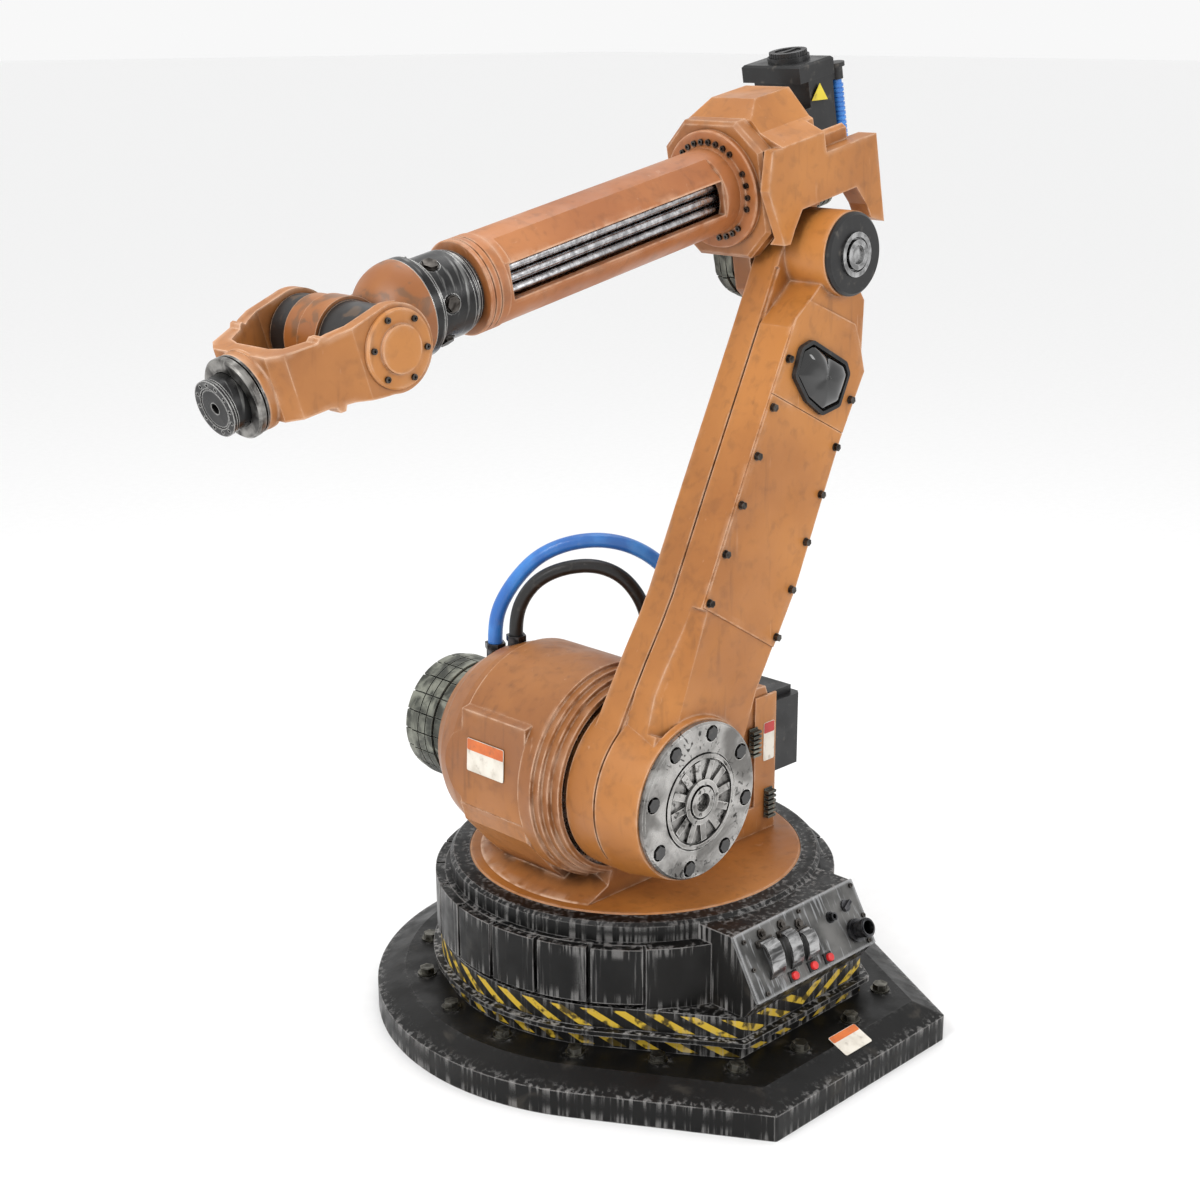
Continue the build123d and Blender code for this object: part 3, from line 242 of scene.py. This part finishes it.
def black_enamel(name, stripes=None):
    """Scuffed black satin enamel with pale upright scratches near its edges."""
    s = Shade(name)
    s.shader.inputs["Specular IOR Level"].default_value = 0.24
    cloud = s.between(s.noise(3.5, 5.0), 0.35, 0.7)
    colour = s.mix(cloud, rgb(8, 8, 8), rgb(19, 18, 17))
    dust = s.between(s.noise(17.0, 7.0, distortion=0.6), 0.58, 0.8, 0.0, 0.2)
    colour = s.mix(dust, colour, rgb(112, 104, 94))
    if stripes:
        colour = s.mix(stripes(s), colour, rgb(196, 164, 52))
    band = s.edges(0.042, 0.006, 0.22)
    scratch = s.between(s.noise(34.0, 5.0, (3.2, 3.2, 0.16)), 0.49, 0.64)
    colour = s.mix(s.times(band, scratch, 0.62), colour, rgb(176, 174, 172))
    rim = s.times(s.edges(0.0040), s.between(s.noise(26.0, 6.0), 0.36, 0.6, 0.2, 1.0), 0.8)
    colour = s.mix(rim, colour, rgb(170, 168, 166))
    rough = s.between(s.noise(20.0, 5.0), 0.3, 0.7, 0.30, 0.52)
    rough = s.calc("ADD", rough, s.times(dust, 0.4))
    s.raise_by(s.noise(300.0, 2.0), 0.10, 0.0006)
    s.raise_by(scratch, 0.06, 0.0006)
    return s.finish(colour, rough)


STRIPE_PITCH = 0.062
STRIPE_SLANT = 1.7
STRIPE_BANDS = ((0.1185, 0.154), (0.0795, 0.1035))
STRIPE_RADIUS = 0.404
STRIPE_FROM, STRIPE_TO = 0.52, 0.94


def hazard_stripes(s):
    """Slanting stripes on the two bands above and below the pedestal's lip, worn through in places."""
    x, y, z = s.xyz()
    around = s.times(s.calc("ARCTAN2", y, x), STRIPE_RADIUS)
    side = s.calc("SIGN", x)
    slant = s.calc("ADD", around, s.times(z, side, STRIPE_SLANT))
    phase = s.calc("FRACT", s.calc("DIVIDE", slant, STRIPE_PITCH))
    stripe = s.times(s.calc("GREATER_THAN", phase, STRIPE_FROM), s.calc("LESS_THAN", phase, STRIPE_TO))
    inside = None
    for low, high in STRIPE_BANDS:
        band = s.times(s.calc("GREATER_THAN", z, low), s.calc("LESS_THAN", z, high))
        inside = band if inside is None else s.calc("MAXIMUM", inside, band)
    left = s.between(s.noise(40.0, 6.0), 0.42, 0.52, 0.12, 1.0)
    return s.times(stripe, inside, left)


def metal(name, light, dark, rough=(0.25, 0.5), mottle=30.0, corner_shade_weight=0.6, shine=1.0, grain=(1, 1, 1)):
    """Bare or plated metal: mottled tone, fine grain, painted dark shade in corners and brighter rubbed edges."""
    s = Shade(name, metallic=shine)
    colour = s.mix(s.between(s.noise(mottle, 6.0, grain, 0.5), 0.36, 0.66), dark, light)
    # painted shade: near-black in the corners from the occlusion mask
    corner = s.times(s.between(s.hollows(0.012), 0.15, 0.8), corner_shade_weight)
    colour = s.mix(corner, colour, rgb(18, 16, 14))
    rubbed = s.times(s.edges(0.0016), 0.6)
    colour = s.mix(rubbed, colour, lighter(light, 1.7, 0.04))
    s.raise_by(s.noise(260.0, 3.0, grain), 0.12, 0.0005)
    return s.finish(colour, s.between(s.noise(mottle * 1.7, 4.0, grain), 0.3, 0.7, *rough))


def cast_grey(name):
    """Bright rough casting, pitted and stained black with oil, with painted shade in its corners."""
    s = Shade(name, metallic=0.8)
    tone = s.between(s.noise(14.0, 6.0, distortion=0.6), 0.35, 0.65)
    colour = s.mix(tone, rgb(112, 110, 107), rgb(176, 174, 171))
    pits = s.between(s.noise(78.0, 8.0, distortion=1.0), 0.56, 0.64)
    patch = s.between(s.noise(13.0, 5.0, distortion=0.8), 0.42, 0.60)
    colour = s.mix(s.times(pits, patch, 0.9), colour, rgb(22, 20, 18))
    # painted shade: near-black in the corners from the occlusion mask
    corner = s.between(s.hollows(0.016), 0.12, 0.6)
    colour = s.mix(corner, colour, rgb(12, 11, 10))
    rim = s.times(s.edges(0.004), s.between(s.noise(40.0, 5.0), 0.4, 0.6))
    colour = s.mix(rim, colour, rgb(224, 222, 218))
    s.raise_by(s.noise(78.0, 8.0, distortion=1.0), 0.45, 0.003)
    return s.finish(colour, s.between(tone, 0.0, 1.0, 0.42, 0.26))


def motor_finish(name):
    """Grey-green cast cooling pads, weathered, with painted black shade in the slots."""
    s = Shade(name, metallic=0.25)
    tone = s.between(s.noise(26.0, 6.0, distortion=0.7), 0.34, 0.68)
    colour = s.mix(tone, rgb(58, 60, 54), rgb(132, 134, 122))
    stain = s.between(s.noise(9.0, 6.0), 0.5, 0.7, 0.0, 0.6)
    colour = s.mix(stain, colour, rgb(40, 40, 36))
    # painted shade: near-black in the slots and corners from the occlusion mask
    colour = s.mix(s.between(s.hollows(0.010), 0.25, 0.8), colour, rgb(12, 12, 12))
    colour = s.mix(s.times(s.edges(0.002), 0.5), colour, rgb(176, 178, 166))
    s.raise_by(s.noise(120.0, 6.0), 0.35, 0.0015)
    return s.finish(colour, s.between(tone, 0.0, 1.0, 0.62, 0.42))


def panel_finish(name):
    """Dark grey sheet metal, rubbed bright along its top and sides, with long upright scratches."""
    s = Shade(name, metallic=0.45)
    colour = s.mix(s.between(s.noise(12.0, 6.0), 0.35, 0.7), rgb(58, 58, 57), rgb(112, 111, 109))
    scratch = s.between(s.noise(60.0, 5.0, (2.4, 0.3, 0.3)), 0.56, 0.68, 0.0, 0.6)
    colour = s.mix(scratch, colour, rgb(160, 161, 163))
    colour = s.mix(s.times(s.edges(0.014, 0.02, 0.3), 0.8), colour, rgb(190, 191, 192))
    # painted shade: near-black in the corners from the occlusion mask
    corner = s.between(s.hollows(0.012), 0.2, 0.8, 0.0, 0.8)
    colour = s.mix(corner, colour, rgb(16, 16, 16))
    s.raise_by(scratch, 0.12, 0.0005)
    return s.finish(colour, s.between(scratch, 0.0, 0.6, 0.42, 0.3))


def plastic(name, light, dark, rough=(0.4, 0.6), grain=0.25, wear=0.35, coat=0.0):
    """Moulded plastic or rubber with a fine grain, dust and scuffed edges."""
    s = Shade(name)
    colour = s.mix(s.between(s.noise(14.0, 6.0), 0.35, 0.68), dark, light)
    dust = s.between(s.noise(55.0, 6.0), 0.58, 0.8, 0.0, 0.25)
    colour = s.mix(dust, colour, rgb(140, 132, 122))
    colour = s.mix(s.times(s.edges(0.002), wear), colour, lighter(light, 1.8, 0.05))
    s.shader.inputs["Coat Weight"].default_value = coat
    s.raise_by(s.cells(900.0), grain, 0.0003)
    return s.finish(colour, s.between(s.noise(22.0, 5.0), 0.3, 0.7, *rough))


def window_finish(name):
    """Near-black polished glazing with a film of dust and fine swirls."""
    s = Shade(name)
    dust = s.between(s.noise(18.0, 7.0, distortion=1.0), 0.5, 0.78, 0.0, 0.35)
    colour = s.mix(dust, rgb(9, 9, 9), rgb(60, 54, 48))
    colour = s.mix(s.times(s.edges(0.002), 0.5), colour, rgb(120, 116, 110))
    s.shader.inputs["Coat Weight"].default_value = 0.6
    s.raise_by(s.noise(30.0, 2.0), 0.05, 0.001)
    return s.finish(colour, s.between(dust, 0.0, 0.35, 0.08, 0.4))


def label_finish(name, colour_a, colour_b):
    """Printed film, yellowed and scuffed."""
    s = Shade(name)
    colour = s.mix(s.between(s.noise(25.0, 6.0), 0.35, 0.7), colour_a, colour_b)
    dirt = s.between(s.noise(60.0, 6.0), 0.55, 0.75, 0.0, 0.5)
    colour = s.mix(dirt, colour, rgb(110, 92, 72))
    s.raise_by(s.noise(90.0, 3.0), 0.1, 0.0004)
    return s.finish(colour, s.between(dirt, 0.0, 0.5, 0.35, 0.6))


def joint_point(name):
    """A joint's place at rest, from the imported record."""
    return Vector(next(j for j in frame["joints"] if j["name"] == name)["pos_m"])


BLACK_DRUM_RADIUS = 0.0640


def wrist_finish(name):
    """Orange paint, and black wherever the surface lies close about the bend axis."""
    s = Shade(name)
    paint = s.mix(s.between(s.noise(5.0, 5.0), 0.35, 0.66), rgb(140, 84, 40), rgb(172, 112, 56))
    pivot = joint_point("a5_wrist_bend")
    x, y, z = s.xyz()
    dx, dz = s.calc("SUBTRACT", x, pivot.x), s.calc("SUBTRACT", z, pivot.z)
    away = s.calc("SQRT", s.calc("ADD", s.times(dx, dx), s.times(dz, dz)))
    drum = s.calc("LESS_THAN", away, BLACK_DRUM_RADIUS)
    colour = s.mix(drum, paint, rgb(30, 28, 27))
    worn = s.between(s.noise(30.0, 6.0, distortion=0.6), 0.52, 0.66, 0.0, 0.6)
    colour = s.mix(worn, colour, rgb(92, 70, 50))
    # painted shade: dark brown in the corners from the occlusion mask
    corner = s.between(s.hollows(0.03), 0.15, 0.8)
    colour = s.mix(corner, colour, rgb(26, 20, 16))
    colour = s.mix(s.times(s.edges(0.003), 0.7), colour, PALE)
    s.raise_by(s.noise(300.0, 2.0), 0.1, 0.0006)
    return s.finish(colour, s.between(s.noise(18.0, 5.0), 0.3, 0.7, 0.34, 0.55))


FOREARM_PITCH = math.radians(-11.2)


def wrist_metal(name):
    """Gloss-black machined barrel with bright rubbed rings and scratches round it."""
    s = Shade(name, metallic=0.6)
    colour = s.mix(s.between(s.noise(16.0, 6.0), 0.35, 0.7), rgb(20, 20, 21), rgb(44, 44, 44))
    round_barrel = s.noise(50.0, 4.0, (2.0, 0.25, 0.25), 0.0, (0, FOREARM_PITCH, 0))
    ring = s.between(round_barrel, 0.55, 0.68, 0.0, 0.5)
    colour = s.mix(ring, colour, rgb(150, 150, 148))
    colour = s.mix(s.times(s.edges(0.004), 0.9), colour, rgb(206, 205, 202))
    # painted shade: near-black in the corners from the occlusion mask
    colour = s.mix(s.between(s.hollows(0.012), 0.25, 0.8), colour, rgb(10, 10, 10))
    s.raise_by(ring, 0.1, 0.0005)
    return s.finish(colour, s.between(s.noise(22.0, 5.0), 0.3, 0.7, 0.2, 0.42))


ORANGE_WORN = enamel("orange_enamel_worn", rgb(172, 112, 56), rgb(140, 86, 42), wear=1.0, dirt=1.0)
FINISHES = {
    "orange_paint": enamel("orange_enamel", rgb(184, 120, 56), rgb(158, 98, 42)),
    "forearm_paint": enamel("forearm_enamel", rgb(180, 116, 66), rgb(152, 90, 46)),
    "black_paint": black_enamel("black_enamel"),
    "steel": metal("oiled_steel", rgb(92, 88, 84), rgb(44, 41, 38), (0.32, 0.55), 60.0),
    "worn_steel": metal("worn_steel", rgb(150, 148, 144), rgb(66, 64, 62), (0.28, 0.5), 40.0),
    "panel_metal": panel_finish("panel_sheet"),
    "black_plastic": plastic("black_plastic", rgb(24, 24, 25), rgb(13, 13, 14), (0.35, 0.55)),
    "spring_steel": metal("spring_steel", rgb(196, 196, 196), rgb(130, 130, 130), (0.2, 0.35), 50.0),
    "connector_metal": metal("dark_plated", rgb(96, 96, 98), rgb(44, 44, 46), (0.28, 0.5), 50.0),
    "motor_metal": motor_finish("motor_casting"),
    "blue_hose": plastic("blue_hose", rgb(66, 142, 222), rgb(44, 108, 190), (0.3, 0.45), 0.12, 0.2, 0.2),
    "black_hose": plastic("black_hose", rgb(24, 23, 23), rgb(12, 12, 12), (0.3, 0.5), 0.15, 0.2, 0.1),
    "seal_rubber": plastic("seal_rubber", rgb(34, 33, 33), rgb(20, 20, 20), (0.5, 0.7)),
    "window_black": window_finish("window_glazing"),
    "hub_casting": cast_grey("hub_casting"),
    "wrist_metal": wrist_metal("wrist_black"),
    "red_plastic": plastic("red_button", rgb(226, 44, 42), rgb(184, 24, 26), (0.28, 0.45), 0.1, 0.3, 0.3),
    "guard_metal": metal("guard_steel", rgb(176, 176, 176), rgb(70, 70, 70), (0.25, 0.45), 26.0, 0.8, 0.9, (1, 3, 3)),
    "shaft_steel": metal("ground_shaft", rgb(206, 206, 208), rgb(150, 150, 152), (0.18, 0.32), 90.0, 0.5),
}
# nodes whose finish differs from the rest of their slot
SPECIAL = {
    "pedestal": black_enamel("striped_black_enamel", hazard_stripes),
    "base_bolts": metal("bolt_steel", rgb(128, 126, 118), rgb(70, 68, 62), (0.35, 0.55), 60.0),
    "hub_bolts": plastic("oiled_black_steel", rgb(30, 29, 28), rgb(12, 12, 12), (0.22, 0.4), 0.1, 0.6, 0.3),
    "wrist_housing": wrist_finish("wrist_drum"),
    "wrist_fork": ORANGE_WORN,
    "mounting_plate": ORANGE_WORN,
    "shoulder_housing": ORANGE_WORN,
    "elbow_gearbox": ORANGE_WORN,
}


def paint_nodes():
    slots = {part["node"]: part["material_slot"] for part in frame["record"]["subparts"]}
    for name, obj in nodes.items():
        finish = SPECIAL.get(name, FINISHES[slots[name]])
        obj.data.materials.clear()
        obj.data.materials.append(finish)


# ---- pieces -------------------------------------------------------------
def piece_from(bm, name, material, body):
    mesh = bpy.data.meshes.new(name)
    bmesh.ops.recalc_face_normals(bm, faces=bm.faces)
    bm.to_mesh(mesh)
    bm.free()
    obj = bpy.data.objects.new(name, mesh)
    bpy.context.scene.collection.objects.link(obj)
    mesh.materials.append(material)
    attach(obj, body)
    return obj


def skin(bm, rings):
    """Faces between rings of the same length, and a cap at each end."""
    count = len(rings[0])
    for low, high in zip(rings, rings[1:]):
        for i in range(count):
            bm.faces.new((low[i], low[(i + 1) % count], high[(i + 1) % count], high[i]))
    bm.faces.new(rings[-1])
    bm.faces.new(list(reversed(rings[0])))


def plate_outline(width, height, corner, steps=5):
    """A rectangle with rounded corners, about the origin."""
    points = []
    for sx, sy, start in ((1, 1, 0), (-1, 1, 90), (-1, -1, 180), (1, -1, 270)):
        cx, cy = sx * (width / 2 - corner), sy * (height / 2 - corner)
        for i in range(steps + 1):
            angle = math.radians(start + 90 * i / steps)
            points.append((cx + corner * math.cos(angle), cy + corner * math.sin(angle)))
    return points


PLATE_RIM = 0.35


def thin_plate(points, place, thickness):
    """A flat plate of that outline with a softened rim; place takes x, y, z to the row frame."""
    bm = bmesh.new()
    rim = PLATE_RIM * thickness
    rings = []
    for inset, z in ((0.0, 0.0), (0.0, thickness - rim), (rim, thickness)):
        ring = []
        for x, y in points:
            length = math.hypot(x, y)
            scale = (length - inset) / length
            ring.append(bm.verts.new(place @ Vector((x * scale, y * scale, z))))
        rings.append(ring)
    skin(bm, rings)
    return bm


def facing(origin, across, up):
    """A frame whose x runs across, y runs up and z stands out."""
    across = Vector(across).normalized()
    up = Vector(up)
    up = (up - across * up.dot(across)).normalized()
    turn = Matrix((across, up, across.cross(up))).transposed().to_4x4()
    return Matrix.Translation(Vector(origin)) @ turn


LABEL_WHITE = label_finish("label_white", rgb(226, 220, 208), rgb(196, 188, 174))
LABEL_ORANGE = label_finish("label_orange", rgb(214, 112, 44), rgb(186, 88, 34))
LABEL_RED = label_finish("label_red", rgb(190, 44, 40), rgb(160, 32, 30))
LABEL_YELLOW = label_finish("label_yellow", rgb(226, 206, 52), rgb(200, 176, 40))
LABEL_THICK = 0.0008
LABEL_CORNER, HEADER_CORNER = 0.004, 0.003
HEADER_MARGIN = 0.001
HEADER_LIFT = 1.05 * LABEL_THICK


def label(name, place, width, height, header, header_share, body):
    """A blank plate: white film with a coloured header strip."""
    back = thin_plate(plate_outline(width, height, LABEL_CORNER), place, LABEL_THICK)
    piece_from(back, name, LABEL_WHITE, body)
    strip = header_share * height
    shift = Matrix.Translation((0, height / 2 - strip / 2 - HEADER_MARGIN, HEADER_LIFT))
    outline = plate_outline(width - 2 * HEADER_MARGIN, strip, HEADER_CORNER)
    top = thin_plate(outline, place @ shift, LABEL_THICK / 2)
    piece_from(top, name + "_header", header, body)


def add_labels():
    """Each label is placed from a corner of the node that carries it."""
    low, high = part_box("shoulder_housing")
    pad = facing((high[0] - 0.0162, -0.045, low[2] + 0.2690), (0, 1, 0), (-9, 0, 191))
    label("shoulder_label", pad, 0.104, 0.066, LABEL_ORANGE, 0.34, "carousel")
    low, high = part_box("base_plate")
    bevel = facing((-0.022, high[1] - 0.0533, high[2] - 0.0016), (-1, 0, 0), (0, -58, 23.5))
    label("base_label", bevel, 0.080, 0.050, LABEL_ORANGE, 0.30, "base")
    low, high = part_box("motor_bracket")
    side = facing((low[0] + 0.0220, high[1], high[2] - 0.1020), (-1, 0, 0), (0, 0, 1))
    label("bracket_label", side, 0.034, 0.084, LABEL_RED, 0.27, "carousel")


def warning_triangle():
    """A blank yellow triangle on the connector box."""
    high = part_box("connector_box")[1]
    place = facing((high[0] - 0.06359, high[1], high[2] - 0.07160), (-1, 0, 0), (0, 0, 1))
    points = [(-0.0010, 0.0212), (-0.0239, -0.0117), (0.0249, -0.0094)]
    plate = thin_plate(points, place, LABEL_THICK)
    piece_from(plate, "warning_triangle", LABEL_YELLOW, "upper_arm")


TOUCH = 1e-9


def reach_at(points, angle):
    """How far the closed outline lies from its origin in that direction."""
    cos, sin = math.cos(angle), math.sin(angle)
    for (ax, ay), (bx, by) in zip(points, points[1:] + points[:1]):
        before, after = ax * sin - ay * cos, cos * by - sin * bx
        if min(before, after) >= -TOUCH and before + after > TOUCH:
            return (ax * by - ay * bx) / (before + after)
    raise ValueError("the outline doesn't go round its origin")


DOME_STEPS, DOME_RINGS = 96, 16
DOME_RISE = 0.014
DOME_FIT = 0.985
DOME_BASE = 1e-5


def window_dome():
    """The window's moulded cover, bulging and dented, on the outline of the flat one."""
    low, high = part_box("window_lens")
    along = joint_point("a3_elbow") - joint_point("a2_shoulder")
    along.y = 0
    middle = [(a + b) / 2 for a, b in zip(low, high)]
    place = facing((middle[0], low[1], middle[2]), along.cross(Vector((0, 1, 0))), along)
    inside = place.inverted()
    base = [inside @ v.co for v in nodes["window_lens"].data.vertices if v.co.y < low[1] + DOME_BASE]
    base = sorted(((p.x, p.y) for p in base), key=lambda p: math.atan2(p[1], p[0]))
    rise = high[1] - low[1] + DOME_RISE
    bm = bmesh.new()
    layers = []
    for ring in range(DOME_RINGS):
        share = math.cos(math.pi / 2 * ring / DOME_RINGS)
        layer = []
        for step in range(DOME_STEPS):
            angle = 2 * math.pi * step / DOME_STEPS
            reach = DOME_FIT * reach_at(base, angle)
            x, y = share * reach * math.cos(angle), share * reach * math.sin(angle)
            ridge = 0.24 * math.cos(2 * angle + 0.6) + 0.16 * math.cos(3 * angle - 1.1)
            height = rise * (1 - share ** 3) ** 0.5 * (0.8 + ridge * share * (1.4 - share))
            layer.append(bm.verts.new(place @ Vector((x, y, height if ring else 0.0))))
        layers.append(layer)
    skin(bm, layers)
    obj = piece_from(bm, "window_dome", FINISHES["window_black"], "lower_arm")
    for polygon in obj.data.polygons:
        polygon.use_smooth = len(polygon.vertices) == 4
    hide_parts("window_lens")


MM = 0.001


def hose_line(name, points, radius, material, node):
    """A hose along one smooth line, in place of the frame's plain tube."""
    data = bpy.data.curves.new(name, "CURVE")
    data.dimensions = "3D"
    data.bevel_depth = radius
    data.bevel_resolution = 8
    data.resolution_u = 16
    data.use_fill_caps = True
    spline = data.splines.new("NURBS")
    spline.points.add(len(points) - 1)
    for point, (x, y, z) in zip(spline.points, points):
        point.co = (x * MM, y * MM, z * MM, 1)
    spline.order_u = 3
    spline.use_endpoint_u = True
    obj = bpy.data.objects.new(name, data)
    bpy.context.scene.collection.objects.link(obj)
    data.materials.append(material)
    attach(obj, "carousel")
    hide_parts(node)
    return obj


# control points in millimetres, as the CAD hoses have them
BLUE_ROUTE = [
    (176, -222, 746), (176, -222, 784), (166, -212, 832), (140, -190, 884), (111, -157, 928),
    (72, -113, 954), (28, -63, 962), (-14, -15, 948), (-50, 26, 912), (-76, 55, 862),
    (-90, 72, 804), (-95, 78, 746), (-95, 78, 700),
]
BLACK_ROUTE = [
    (168, -168, 772), (168, -168, 806), (158, -157, 850), (137, -133, 889), (104, -96, 912),
    (64, -50, 919), (30, -11, 900), (6, 16, 858), (-6, 30, 806), (-9, 34, 754), (-9, 34, 706),
]


def add_hoses():
    hoses = (("blue", BLUE_ROUTE, 0.015, 0.70), ("black", BLACK_ROUTE, 0.014, 0.508))
    for name, route, radius, length in hoses:
        slot = name + "_hose"
        obj = hose_line(name + "_hose_line", route, radius, FINISHES[slot], "hose_" + name)


# ---- room ---------------------------------------------------------------
FLOOR_HALF = 90.0
WORLD_STRENGTH = 0.94


def area_light(name, place, target, size, power):
    data = bpy.data.lights.new(name, "AREA")
    data.shape = "RECTANGLE"
    data.size, data.size_y = size
    data.energy = power
    light = bpy.data.objects.new(name, data)
    bpy.context.scene.collection.objects.link(light)
    light.location = place
    light.rotation_euler = (Vector(target) - Vector(place)).to_track_quat("-Z", "Y").to_euler()


def add_room():
    s = Shade("floor_finish", 0.75)
    colour = s.mix(s.between(s.noise(30.0, 3.0), 0.3, 0.7), rgb(248, 248, 248), rgb(250, 250, 250))
    bm = bmesh.new()
    bmesh.ops.create_grid(bm, x_segments=8, y_segments=8, size=FLOOR_HALF)
    mesh = bpy.data.meshes.new("floor")
    bm.to_mesh(mesh)
    bm.free()
    floor = bpy.data.objects.new("floor", mesh)
    bpy.context.scene.collection.objects.link(floor)
    mesh.materials.append(s.finish(colour))
    world = bpy.data.worlds.new("studio")
    bpy.context.scene.world = world
    world.use_nodes = True
    background = world.node_tree.nodes["Background"]
    background.inputs["Color"].default_value = (1, 1, 1, 1)
    background.inputs["Strength"].default_value = WORLD_STRENGTH
    area_light("key", (3.4, 0.6, 3.6), (0, 0, 0.9), (1.6, 1.6), 84)
    area_light("side", (-1.2, 3.8, 2.6), (0, 0, 0.9), (1.2, 1.8), 34)
    area_light("top", (-0.8, -0.6, 4.6), (0, 0, 0.6), (2.4, 2.4), 34)


add_camera()
add_hoses()
paint_nodes()
add_labels()
warning_triangle()
window_dome()
add_room()
bpy.context.scene.view_settings.view_transform = "Standard"
